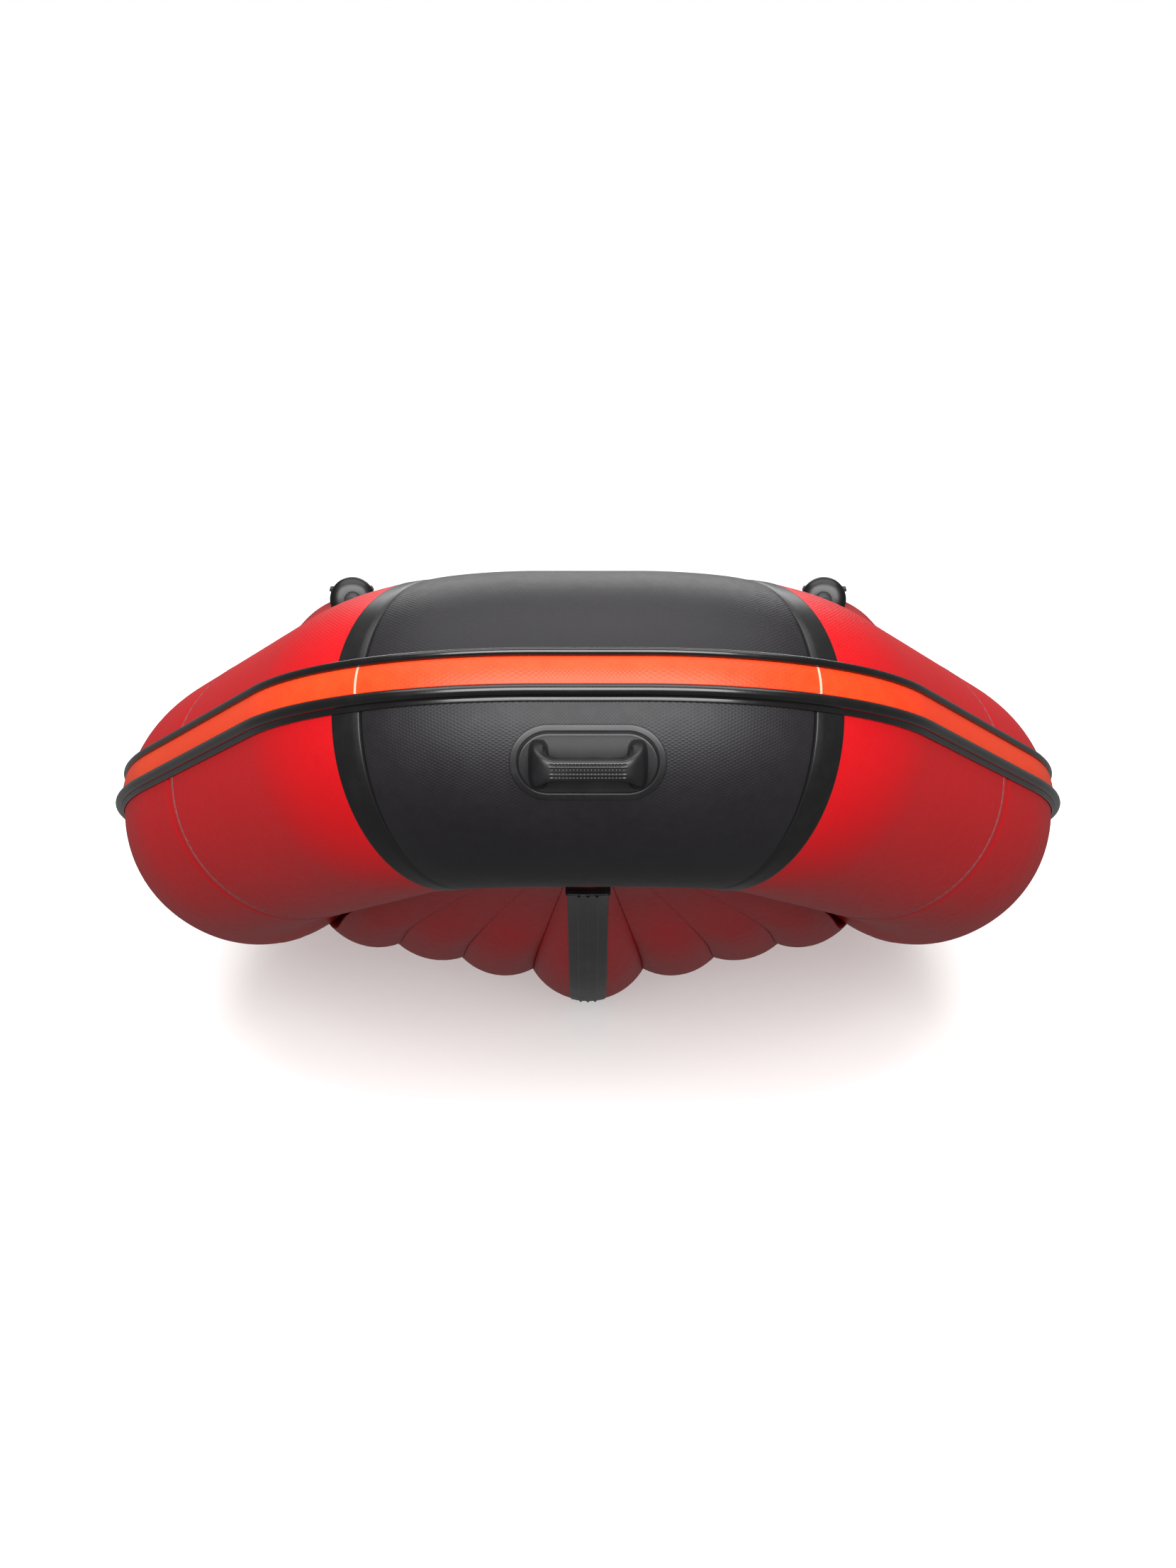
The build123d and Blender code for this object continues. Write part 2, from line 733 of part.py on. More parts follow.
with BuildPart() as drain_body:
    drain_front = transom_front - panel_gap - drain_flange_thickness
    for face in (drain_back, drain_front + drain_flange_thickness):
        with BuildSketch(across(face)):
            with Locations((drain_x, drain_height)):
                Circle(drain_flange / 2)
        extrude(amount=drain_flange_thickness)
    with BuildSketch(across(drain_back)):
        with Locations((drain_x, drain_height)):
            Circle(drain_outer)
    extrude(amount=drain_back - drain_front)
    for side in (-1, 1):
        ear_middle = side * (drain_knuckle / 2 + panel_gap * 2 + drain_ear / 2)
        with BuildSketch(pin_line.offset(ear_middle - drain_ear / 2)):
            Circle(drain_ear_radius)
            with Locations((-drain_pin_standoff / 2, -drain_ear_radius / 2)):
                Rectangle(drain_pin_standoff, drain_ear_radius)
        extrude(amount=drain_ear)
    with BuildSketch(pin_line.offset(-drain_knuckle / 2 - drain_ear)):
        Circle(drain_pin / 2)
    extrude(amount=drain_knuckle + 2 * drain_ear)
    with BuildSketch(across(drain_back + drain_ear_radius)):
        with Locations((drain_x, drain_height)):
            Circle(drain_bore / 2)
    extrude(amount=drain_back - drain_front + 2 * drain_ear_radius, mode=Mode.SUBTRACT)
write(drain_body.part, "drain_body")

with BuildPart() as drain_flap:
    flap_back = drain_back + panel_gap + drain_flap_thickness
    with BuildSketch(across(flap_back)):
        with Locations((drain_x, drain_height)):
            Circle(drain_flap_diameter / 2)
        with Locations((drain_x, (drain_height + pin_z) / 2)):
            Rectangle(drain_knuckle, pin_z - drain_height)
    extrude(amount=drain_flap_thickness)
    with BuildSketch(pin_line.offset(-drain_knuckle / 2)):
        Circle(drain_knuckle_radius)
    extrude(amount=drain_knuckle)
    with BuildSketch(pin_line.offset(-drain_knuckle)):
        Circle(drain_pin / 2 + running_gap)
    extrude(amount=2 * drain_knuckle, mode=Mode.SUBTRACT)
write(drain_flap.part, "drain_flap")

# Seats: plywood thwarts whose clamps slide on bolt-rope tracks inside the side tubes
track_out = (-cos(radians(track_angle)), 0, sin(radians(track_angle)))


def track_frame(y):
    """Section plane of the port track, with its X axis from the tube's axis to the bead."""
    return Plane((side_x, y, side_z), x_dir=track_out, z_dir=(0, 1, 0))


bead_out = tube_radius + track_bead_out
track_foot = tube_radius + soft_gap

with BuildPart() as seat_tracks:
    with BuildSketch(track_frame(track_start)):
        add(sector(track_foot, track_foot + track_base_thickness, -track_base_half_angle, track_base_half_angle))
        with Locations(((track_foot + track_base_thickness / 2 + bead_out) / 2, 0)):
            Rectangle(bead_out - track_foot - track_base_thickness / 2, track_neck)
        with Locations((bead_out, 0)):
            Circle(track_bead / 2)
    extrude(amount=track_end - track_start)
    mirror(about=Plane.YZ)
write(seat_tracks.part, "seat_tracks")

# Lowest inboard corner of a clamp: the seat board lies level with it, a gap away
clamp_corner = track_frame(0).from_local_coords(Vector(tube_radius + clamp_end, -clamp_width / 2, 0))
seat_bottom = clamp_corner.Z
seat_half_length = clamp_corner.X - seat_end_gap


def seat_clamps(y):
    """Clamp round the port track's bead, with a flange that the seat is screwed to."""
    with BuildSketch(track_frame(y - clamp_length / 2)) as block:
        with Locations((tube_radius + (clamp_start + clamp_end) / 2, 0)):
            Rectangle(clamp_end - clamp_start, clamp_width)
        with Locations((bead_out, 0)):
            Circle(track_bead / 2 + track_clearance, mode=Mode.SUBTRACT)
        with Locations((tube_radius + track_bead_out / 2, 0)):
            Rectangle(track_bead_out, track_neck + 2 * track_clearance, mode=Mode.SUBTRACT)
    extrude(block.sketch, amount=clamp_length)
    with BuildSketch(across(y + clamp_length / 2)) as flange:
        with Locations((clamp_corner.X + clamp_start, seat_bottom - panel_gap)):
            Rectangle(clamp_flange, clamp_flange_thickness, align=Align.MAX)
    extrude(flange.sketch, amount=clamp_length)
    mirror(about=Plane.YZ)


for name, setback in seat_setbacks.items():
    seat_y = transom_front - setback
    with BuildPart() as seat:
        with BuildSketch(Plane.XY.offset(seat_bottom)):
            with Locations((0, seat_y)):
                RectangleRounded(2 * seat_half_length, seat_width, seat_corner)
        extrude(amount=seat_thickness)
    write(seat.part, f"{name}_seat")
    with BuildPart() as clamps:
        seat_clamps(seat_y)
    write(clamps.part, f"{name}_seat_clamps")

# Rowlocks: a rubber block glued on the tube, a pin, and a yoke that swivels on it
yoke_bottom = rowlock_base_top + soft_gap
yoke_top = yoke_bottom + yoke_hub_height
arm_inner = oar_sleeve / 2 + yoke_sleeve_gap
arm_outer = arm_inner + yoke_arm


def over_rowlock(height):
    return Plane((rowlock_x, rowlock_y, height), x_dir=(1, 0, 0), z_dir=(0, 0, 1))


def write_stowed(part, name):
    """Writes a pair of pieces that are made lying fore and aft, turned outboard about the pins."""
    write_pair(part.rotate(Axis((rowlock_x, rowlock_y, 0), (0, 0, 1)), -oar_yaw), name)


with BuildPart() as rowlock_bases:
    with BuildSketch(over_rowlock(side_z)):
        Circle(rowlock_base / 2)
    extrude(amount=rowlock_base_top - side_z)
    fillet(rowlock_bases.edges().sort_by(Axis.Z)[-1], radius=rowlock_base_round)
    add(hull_envelope.part, mode=Mode.SUBTRACT)
    with BuildSketch(over_rowlock(rowlock_base_top - rowlock_pin_depth)):
        Circle(rowlock_pin / 2 + running_gap)
    extrude(amount=rowlock_pin_depth, mode=Mode.SUBTRACT)
    mirror(about=Plane.YZ)
write(rowlock_bases.part, "rowlock_bases")

with BuildPart() as rowlock_pins:
    with BuildSketch(over_rowlock(rowlock_base_top - rowlock_pin_depth)):
        Circle(rowlock_pin / 2)
    extrude(amount=rowlock_pin_depth + yoke_top + soft_gap - rowlock_base_top)
    with BuildSketch(over_rowlock(yoke_top + soft_gap)):
        Circle(rowlock_cap / 2)
    extrude(amount=rowlock_cap_height)
    mirror(about=Plane.YZ)
write(rowlock_pins.part, "rowlock_pins")

with BuildPart() as rowlock_yoke:
    with BuildSketch(over_rowlock(yoke_bottom)):
        Circle(yoke_hub / 2)
    extrude(amount=yoke_hub_height)
    with BuildSketch(over_rowlock(yoke_top - yoke_arm)):
        Rectangle(2 * arm_outer, yoke_arm_width)
    extrude(amount=yoke_arm)
    for start in (-arm_outer, arm_inner):
        with BuildSketch(Plane((rowlock_x + start, rowlock_y, oar_height), x_dir=(0, 1, 0), z_dir=(1, 0, 0))):
            Circle(yoke_arm_width / 2)
            with Locations((0, (yoke_top - yoke_arm - oar_height) / 2)):
                Rectangle(yoke_arm_width, oar_height - yoke_top + yoke_arm)
            Circle(oar_trunnion / 2 + running_gap, mode=Mode.SUBTRACT)
        extrude(amount=yoke_arm)
    with BuildSketch(over_rowlock(yoke_bottom)):
        Circle(rowlock_pin / 2 + running_gap)
    extrude(amount=yoke_hub_height, mode=Mode.SUBTRACT)
write_stowed(rowlock_yoke.part, "rowlock_yoke")

# Oars: alloy shafts held in trunnioned sleeves, stowed fore and aft with the blades aft
rake = radians(oar_rake)
oar_line = Plane((rowlock_x, rowlock_y, oar_height), x_dir=(1, 0, 0), z_dir=(0, cos(rake), -sin(rake)))
oar_flat = Plane(oar_line.origin, x_dir=(1, 0, 0), z_dir=(0, sin(rake), cos(rake)))
shaft_hole = oar_shaft / 2 + running_gap


def turned_length(radius, start, end, mode=Mode.ADD):
    """Round length along the oar."""
    with BuildSketch(oar_line.offset(start)) as section:
        Circle(radius)
    extrude(section.sketch, amount=end - start, mode=mode)


with BuildPart() as oar_sleeve_part:
    turned_length(oar_sleeve / 2, -oar_sleeve_length / 2, oar_sleeve_length / 2)
    with BuildSketch(Plane((rowlock_x - arm_outer, rowlock_y, oar_height), x_dir=(0, 1, 0), z_dir=(1, 0, 0))):
        Circle(oar_trunnion / 2)
    extrude(amount=2 * arm_outer)
    turned_length(shaft_hole, -oar_sleeve_length / 2, oar_sleeve_length / 2, mode=Mode.SUBTRACT)
write_stowed(oar_sleeve_part.part, "oar_sleeve")

with BuildPart() as oar_shaft_part:
    turned_length(oar_shaft / 2, oar_shaft_start, oar_shaft_end)
    turned_length(oar_shaft / 2 - oar_wall, oar_shaft_start, oar_shaft_end, mode=Mode.SUBTRACT)
write_stowed(oar_shaft_part.part, "oar_shaft")

with BuildPart() as oar_grip:
    turned_length(oar_grip_diameter / 2, oar_grip_start, oar_grip_start + oar_grip_length)
    fillet(oar_grip.edges(), radius=oar_grip_round)
    turned_length(shaft_hole, oar_shaft_start - panel_gap, oar_grip_start + oar_grip_length, mode=Mode.SUBTRACT)
write_stowed(oar_grip.part, "oar_grip")

with BuildPart() as oar_collar:
    with BuildSketch(oar_line.offset(oar_collar_at)):
        Circle(oar_collar_diameter / 2)
    with BuildSketch(oar_line.offset(oar_collar_at - oar_collar_depth)):
        Circle(oar_shaft / 2 + oar_collar_wall)
    loft()
    turned_length(oar_collar_diameter / 2, oar_collar_at, oar_collar_at + oar_collar_wall)
    turned_length(shaft_hole, oar_collar_at - oar_collar_depth, oar_collar_at + oar_collar_wall, mode=Mode.SUBTRACT)
write_stowed(oar_collar.part, "oar_collar")

with BuildPart() as oar_blade:
    turned_length(oar_socket / 2, oar_blade_start, oar_shaft_end + oar_socket_wall)
    with BuildSketch(oar_flat.offset(-oar_blade_thickness / 2)) as blade_outline:
        with BuildLine():
            Polyline(
                (-oar_socket / 2, oar_blade_start),
                (oar_socket / 2, oar_blade_start),
                (oar_blade_width / 2, oar_shaft_end),
                (oar_blade_width / 2, oar_blade_end),
                (-oar_blade_width / 2, oar_blade_end),
                (-oar_blade_width / 2, oar_shaft_end),
                close=True,
            )
        make_face()
        fillet(blade_outline.vertices().sort_by(Axis.Y)[-2:], radius=oar_blade_corner)
    extrude(amount=oar_blade_thickness)
    turned_length(shaft_hole, oar_blade_start, oar_shaft_end + panel_gap, mode=Mode.SUBTRACT)
write_stowed(oar_blade.part, "oar_blade")

# Air valves: flanged bodies let into the tubes and floor, spring plungers and caps
valves = {
    "port": (side_valve_frame(1), tube_radius),
    "starboard": (side_valve_frame(-1), tube_radius),
    "bow": (bow_valve_frame, tube_radius),
    "floor": (floor_valve_frame, 0.0),
}


def upright(frame, radius, start, end, mode=Mode.ADD):
    """Round length along a valve's axis."""
    with BuildSketch(frame.offset(start)) as section:
        Circle(radius)
    extrude(section.sketch, amount=end - start, mode=mode)


with BuildPart() as valve_bodies:
    for frame, surface in valves.values():
        foot = surface - valve_flange_sink if surface else soft_gap
        upright(frame, valve_flange / 2, foot, surface + valve_flange_thickness)
    add(hull_envelope.part, mode=Mode.SUBTRACT)
    for frame, surface in valves.values():
        upright(frame, valve_barrel / 2, surface - valve_depth, surface + valve_flange_thickness)
        bore_floor = surface - valve_depth + valve_floor
        upright(frame, valve_bore / 2, bore_floor, surface + valve_flange_thickness, mode=Mode.SUBTRACT)
write(valve_bodies.part, "valve_bodies")

for name, (frame, surface) in valves.items():
    with BuildPart() as plunger:
        head_top = surface - valve_head_depth
        upright(frame, valve_bore / 2 - running_gap, head_top - valve_head, head_top)
        upright(frame, valve_stem / 2, head_top, surface - valve_stem_top)
    write(plunger.part, f"{name}_valve_plunger")
    with BuildPart() as cap:
        cap_foot = surface + valve_flange_thickness + panel_gap
        upright(frame, valve_cap / 2, cap_foot, cap_foot + valve_cap_height)
        fillet(cap.faces().sort_by(Axis(frame.origin, frame.z_dir))[-1].edges(), radius=valve_cap_round)
        with BuildSketch(frame.offset(cap_foot + valve_cap_height)):
            SlotOverall(valve_grip_length, valve_cap_grip)
        extrude(amount=valve_cap_grip)
        upright(frame, valve_bore / 2 - fastener_gap, cap_foot - valve_spigot, cap_foot)
    write(cap.part, f"{name}_valve_cap")
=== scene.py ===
import bpy
import numpy as np
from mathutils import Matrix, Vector


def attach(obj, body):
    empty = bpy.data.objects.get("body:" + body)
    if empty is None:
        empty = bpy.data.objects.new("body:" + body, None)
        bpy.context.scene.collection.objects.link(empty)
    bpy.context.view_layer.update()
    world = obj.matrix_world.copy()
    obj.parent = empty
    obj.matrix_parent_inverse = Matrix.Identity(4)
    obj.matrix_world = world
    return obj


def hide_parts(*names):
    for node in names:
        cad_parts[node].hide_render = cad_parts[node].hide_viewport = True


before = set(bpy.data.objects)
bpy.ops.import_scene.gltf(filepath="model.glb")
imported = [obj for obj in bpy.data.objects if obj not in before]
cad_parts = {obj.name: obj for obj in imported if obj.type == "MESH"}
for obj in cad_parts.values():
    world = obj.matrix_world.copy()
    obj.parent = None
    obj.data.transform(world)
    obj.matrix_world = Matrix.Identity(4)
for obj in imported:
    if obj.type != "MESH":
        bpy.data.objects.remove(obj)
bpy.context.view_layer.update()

# Bow tube: the front length of the inflated hull, a roll of charcoal PVC-coated polyester.
# Its panel is cut flat, rolled and hot-air welded, and meets the red shoulders at two mitred seams.
tube_radius = 0.210
stern_x, stern_y, stern_z = 0.585, 1.198, 0.330
hull_legs = (
    ("straight", 1.54926, 0.0),
    ("rise", 0.600, 22.5),
    ("turn", 0.650, 28.0),
    ("straight", 0.51300, 0.0),
    ("turn", 0.230, 62.0),
    ("straight", 0.065, 0.0),
)
leg_lengths = [size * (np.radians(angle) if angle else 1.0) for kind, size, angle in hull_legs]
side_seam_run = 0.148
hull_half = sum(leg_lengths)
side_seam = sum(leg_lengths[:3]) + side_seam_run
bow_seam = sum(leg_lengths[:4]) + leg_lengths[4] / 2
bow_pitch = np.radians(hull_legs[1][2])
corner_bend, bow_flat = hull_legs[4][1], hull_legs[5][1]


def follow_leg(kind, size, distance, place, out, up, ahead):
    """State of the hull line at a distance along one leg.
    A straight leg adds the distance times the heading. The rise swings about a hub one
    radius above the line, and a turn about a hub one radius inboard of it."""
    if kind == "straight":
        return place + distance * ahead, out + 0 * distance, up + 0 * distance, ahead + 0 * distance
    sweep = distance / size
    cosine, sine = np.cos(sweep), np.sin(sweep)
    if kind == "rise":
        place = place + size * ((1 - cosine) * up + sine * ahead)
        return place, out + 0 * sweep, cosine * up - sine * ahead, cosine * ahead + sine * up
    place = place + size * ((cosine - 1) * out + sine * ahead)
    return place, cosine * out + sine * ahead, up + 0 * sweep, cosine * ahead - sine * out


def hull_line(along):
    """Points of the tube's axis at those lengths from the port stern, with the outboard and upward
    directions there. Past the middle of the bow the port half is met again backwards, mirrored."""
    along = np.asarray(along, float)
    rest = np.where(along > hull_half, 2 * hull_half - along, along)[:, None]
    mirror = np.where(along > hull_half, -1.0, 1.0)[:, None] * [1, 0, 0] + [0, 1, 1]
    start = (stern_x, stern_y, stern_z), (1, 0, 0), (0, 0, 1), (0, -1, 0)
    state = [np.array(v, float) for v in start]
    place, out, up = (np.zeros((len(along), 3)) for _ in range(3))
    begun = 0.0
    for (kind, size, angle), length in zip(hull_legs, leg_lengths):
        here = rest[:, 0] >= begun - 1e-9 if begun else rest[:, 0] > -9
        found = follow_leg(kind, size, rest[here] - begun, *state)
        place[here], out[here], up[here] = found[0], found[1], found[2]
        state = [v[0] for v in follow_leg(kind, size, np.array([[length]]), *state)]
        begun += length
    return place * mirror, out * mirror, up * mirror


def tube_surface(along, around, radius):
    """Points at a radius from the hull line: the line's point plus the radius times the outboard
    direction, turned by the angle towards the upward direction."""
    place, out, up = hull_line(along)
    cosine, sine = np.cos(around)[..., None], np.sin(around)[..., None]
    return place[:, None] + radius[..., None] * (cosine * out[:, None] + sine * up[:, None])


def skin(name, points, material, body, lengths=None, around=True, ends=False, facing=None, keep=None):
    """Mesh of a grid of points, one face between each four. around joins the last column to the
    first, and ends closes the first and last rows with a face each. Faces point away from their
    row's middle, or towards facing. lengths are the rows' and columns' real lengths, for the UV map."""
    rows, columns = points.shape[:2]
    number = np.arange(rows * columns).reshape(rows, columns)
    beside = np.roll(number, -1, 1) if around else number[:, 1:]
    number = number if around else number[:, :-1]
    quads = np.stack([number[:-1], number[1:], beside[1:], beside[:-1]], -1).reshape(-1, 4)
    flat = points.reshape(-1, 3)
    corner = flat[quads]
    normal = np.cross(corner[:, 2] - corner[:, 0], corner[:, 3] - corner[:, 1])
    middle = points.mean(1)[:-1].repeat(number.shape[1], 0)
    outward = corner.mean(1) - middle if facing is None else np.array(facing, float)
    turned = (normal * outward).sum() < 0
    step = np.arange(number.shape[1])
    first = np.arange(rows, dtype=float) if lengths is None else np.asarray(lengths[0], float)
    second = np.arange(number.shape[1] + 1) if lengths is None else np.asarray(lengths[1], float)
    u = np.stack([first[:-1], first[1:], first[1:], first[:-1]], -1)[:, None].repeat(len(step), 1)
    v = np.stack([second[step], second[step], second[step + 1], second[step + 1]], -1)
    v = v[None].repeat(rows - 1, 0)
    maps = np.stack([u, v], -1).reshape(-1, 4, 2)
    if keep is not None:
        chosen = keep(corner.mean(1))
        quads, maps = quads[chosen], maps[chosen]
    if turned:
        quads, maps = quads[:, ::-1], maps[:, ::-1]
    faces = quads.tolist()
    maps = maps.reshape(-1, 2)
    if ends:
        last = (rows - 1) * columns + np.arange(columns)
        caps = [np.arange(columns)[:: -1 if turned else 1], last[:: 1 if turned else -1]]
        faces += [cap.tolist() for cap in caps]
        maps = np.concatenate([maps, np.zeros((2 * columns, 2))])
    mesh = bpy.data.meshes.new(name)
    mesh.from_pydata(flat.tolist(), [], faces)
    mesh.uv_layers.new(name="Surface").data.foreach_set("uv", maps.astype(np.float32).ravel())
    mesh.shade_smooth()
    piece = bpy.data.objects.new(name, mesh)
    bpy.context.scene.collection.objects.link(piece)
    mesh.materials.append(material)
    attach(piece, body)
    return piece


def linear(colour):
    """An sRGB hex colour as linear red, green, blue and alpha."""
    parts = np.array([int(colour[i : i + 2], 16) / 255 for i in (0, 2, 4)])
    parts = np.where(parts <= 0.04045, parts / 12.92, ((parts + 0.055) / 1.055) ** 2.4)
    return (*parts.tolist(), 1.0)


def add(tree, kind, settings=(), inputs=()):
    """Adds a node. settings are its own choices, and inputs its sockets: a value, or the socket
    linked to it."""
    node = tree.nodes.new("ShaderNode" + kind)
    for key, value in dict(settings).items():
        setattr(node, key, value)
    for key, value in dict(inputs).items():
        if isinstance(value, bpy.types.NodeSocket):
            tree.links.new(value, node.inputs[key])
        else:
            node.inputs[key].default_value = value
    return node


def finish_of(name, **sockets):
    """A new material with one shader whose own sockets are set, and the tree it is in."""
    material = bpy.data.materials.new(name)
    material.use_nodes = True
    shader = material.node_tree.nodes["Principled BSDF"]
    for key, value in sockets.items():
        shader.inputs[key.replace("_", " ")].default_value = value
    return material, material.node_tree, shader


def coated_fabric(name, colour, worn, seams=(), seam_colour="000000", roughness=0.42, weave=0.0032):
    """PVC-coated polyester: calendered plastic over a plain weave. It gives a satin gloss, broken by
    the threads beneath and by soft cloudy wear. The 1 mm threads are drawn at 3.2 mm so that they
    show. A weld leaves a fine line at each seam, told by the length along the hull."""
    line_half = 0.0009
    material, tree, shader = finish_of(name, Specular_IOR_Level=0.32)
    place = add(tree, "TexCoord").outputs["Object"]
    surface = add(tree, "UVMap", {"uv_map": "Surface"}).outputs["UV"]
    cloud = add(tree, "TexNoise", inputs={"Vector": place, "Scale": 3.5, "Detail": 5.0, "Roughness": 0.6})
    fine = add(tree, "TexNoise", inputs={"Vector": place, "Scale": 60.0, "Detail": 3.0, "Roughness": 0.7})
    sum_of = {0: fine.outputs["Fac"], 1: 0.35, 2: cloud.outputs["Fac"]}
    both = add(tree, "Math", {"operation": "MULTIPLY_ADD"}, sum_of)
    amount = add(tree, "MapRange", inputs={"Value": both.outputs[0], "From Min": 0.45, "From Max": 0.9})
    blend = {0: amount.outputs["Result"], 6: linear(colour), 7: linear(worn)}
    paint = add(tree, "Mix", {"data_type": "RGBA"}, blend).outputs[2]
    length = add(tree, "SeparateXYZ", inputs={"Vector": surface}).outputs["X"]
    for seam in seams:
        line = add(tree, "Math", {"operation": "COMPARE"}, {0: length, 1: seam, 2: line_half})
        blend = {0: line.outputs[0], 6: paint, 7: linear(seam_colour)}
        paint = add(tree, "Mix", {"data_type": "RGBA"}, blend).outputs[2]
    tree.links.new(paint, shader.inputs["Base Color"])
    slant = add(tree, "Mapping", inputs={"Vector": surface, "Rotation": (0, 0, np.pi / 4)})
    # A wave texture's bands are 20 scale units of arc, so one band is 0.314 over its scale
    bands = {"Vector": slant.outputs[0], "Scale": 0.314 / weave, "Distortion": 0.4, "Detail": 1.0}
    threads = [add(tree, "TexWave", {"bands_direction": way}, bands).outputs["Fac"] for way in ("X", "Y")]
    cloth = add(tree, "Math", {"operation": "MULTIPLY"}, {0: threads[0], 1: threads[1]})
    raised = add(tree, "Bump", inputs={"Height": cloth.outputs[0], "Strength": 0.45, "Distance": 0.0004})
    waves = add(tree, "TexNoise", inputs={"Vector": place, "Scale": 9.0, "Detail": 2.0})
    slack = {"Height": waves.outputs["Fac"], "Strength": 0.25, "Distance": 0.004, "Normal": raised.outputs[0]}
    relaxed = add(tree, "Bump", inputs=slack)
    tree.links.new(relaxed.outputs[0], shader.inputs["Normal"])
    spread = {"Value": fine.outputs["Fac"], "To Min": roughness - 0.05, "To Max": roughness + 0.1}
    rough = add(tree, "MapRange", inputs=spread)
    tree.links.new(rough.outputs["Result"], shader.inputs["Roughness"])
    return material


def rows_between(start, end, step=0.014, near=()):
    """Lengths from start to end, about a step apart, and every 1.5 mm within 30 mm of each seam
    in near."""
    rows = [np.linspace(start, end, int(np.ceil(abs(end - start) / step)) + 1)]
    for seam in near:
        close = seam + np.linspace(-0.03, 0.03, 41)
        rows.append(close[(close > start) & (close < end)])
    return np.unique(np.round(np.concatenate(rows), 6))


def seam_dip(along, around, seam, depth=0.0011, soft=0.0009):
    """How far the skin sinks at a weld: the sum of a narrow bell and a soft one over the distance
    from the seam, and puckers where a mitre folds it inboard, as a cosine within two bells."""
    narrow_half, soft_half, fold_half, fold_angle = 0.0025, 0.016, 0.05, 0.55
    pucker_pitch = 0.033
    apart = np.abs(along - seam)[:, None]
    groove = depth * np.exp(-((apart / narrow_half) ** 2)) + soft * np.exp(-((apart / soft_half) ** 2))
    inboard = np.exp(-(((np.abs(around) - np.pi) / fold_angle) ** 2))
    folded = np.exp(-((apart / fold_half) ** 2)) * inboard
    puckers = folded * (0.5 + 0.5 * np.cos(around * tube_radius * 2 * np.pi / pucker_pitch))
    return groove + 4 * soft * puckers


tube_steps = 192
full_turn = np.linspace(-np.pi, np.pi, tube_steps + 1)[:-1]
girth = np.linspace(0, 2 * np.pi * tube_radius, tube_steps + 1)
bow_seams = (bow_seam, 2 * hull_half - bow_seam)
charcoal_fabric = coated_fabric(
    "charcoal_coated_polyester", "171518", "1F1D20", (bow_seam + 0.003,), "050505", 0.42
)


def folded_length(along):
    """Length from the nearer stern, so that both sides of the hull share one set of seam lines."""
    return np.minimum(along, 2 * hull_half - along)


def clear_of_valve(origin, direction, radius=0.021):
    """Keeps the faces that aren't over a valve's barrel: their distance from its axis is over the
    radius."""
    origin, direction = np.array(origin, float), np.array(direction, float)

    def keep(centres):
        reach = centres - origin
        height = reach @ direction
        apart = np.linalg.norm(reach - height[:, None] * direction, axis=1)
        return (apart > radius) | (height < 0)

    return keep


bow_middle = np.array([0, -1.394, 0.71248])
bow_valve_way = (0, np.cos(np.radians(38)), np.sin(np.radians(38)))
rows = rows_between(bow_seams[0], bow_seams[1], 0.008, bow_seams)
sunk = seam_dip(rows, full_turn[None], bow_seams[0]) + seam_dip(rows, full_turn[None], bow_seams[1])
bow_tube = skin(
    "bow_tube_skin",
    tube_surface(rows, full_turn[None], tube_radius - sunk),
    charcoal_fabric,
    "hull",
    (folded_length(rows), girth),
    keep=clear_of_valve(bow_middle, bow_valve_way),
)
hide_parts("bow_tube")

# Shoulder tubes: the red lengths that sweep inboard from the sides to the bow. They are the same
# fabric in red, welded to the bow panel and to the side tubes at mitred seams.
red_fabric = coated_fabric(
    "red_coated_polyester", "BE0710", "C40C15", (side_seam - 0.0015,), "C8505A", 0.42
)
side_dip, side_soft = 0.0003, 0.0002
shoulder_rows = rows_between(side_seam, bow_seam, 0.012, (side_seam, bow_seam))
for side, rows in (("port", shoulder_rows), ("starboard", 2 * hull_half - shoulder_rows[::-1])):
    folded = folded_length(rows)
    sunk = seam_dip(folded, full_turn[None], side_seam, side_dip, side_soft)
    sunk = sunk + seam_dip(folded, full_turn[None], bow_seam)
    shoulder = skin(
        f"{side}_shoulder_tube_skin",
        tube_surface(rows, full_turn[None], tube_radius - sunk),
        red_fabric,
        "hull",
        (folded, girth),
    )
    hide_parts(f"{side}_shoulder_tube")

# Side tubes: the long red lengths from the stern cones to the shoulders. The panel laps itself 30 mm
# along the underside. Its last 24 mm lap the shoulder, with a soft crease 20 mm aft of the seam.
lap_height, lap_half, lap_reach = 0.0005, 0.015, 0.024
lap_angle = np.radians(-105)
crease_depth, crease_half, crease_reach = 0.0022, 0.006, 0.020
side_rows = rows_between(0.0, side_seam, 0.014, (side_seam, side_seam - crease_reach))
side_valve_y, valve_angle = 0.960, np.radians(40)
for side, sign, rows in (("port", 1, side_rows), ("starboard", -1, 2 * hull_half - side_rows[::-1])):
    folded = folded_length(rows)
    lap = lap_height / (1 + np.exp(-(folded - side_seam + lap_reach) / 0.0006))[:, None] + 0 * full_turn
    lap = np.maximum(lap, lap_height * (np.abs(full_turn - lap_angle) * tube_radius < lap_half))
    crease = crease_depth * np.exp(-(((folded - side_seam + crease_reach) / crease_half) ** 2))[:, None]
    sunk = seam_dip(folded, full_turn[None], side_seam, side_dip, side_soft)
    valve_way = (-sign * np.sin(valve_angle), 0, np.cos(valve_angle))
    side_tube = skin(
        f"{side}_side_tube_skin",
        tube_surface(rows, full_turn[None], tube_radius + lap - crease - sunk),
        red_fabric,
        "hull",
        (folded, girth),
        keep=clear_of_valve((sign * stern_x, side_valve_y, stern_z), valve_way),
    )
    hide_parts(f"{side}_side_tube")

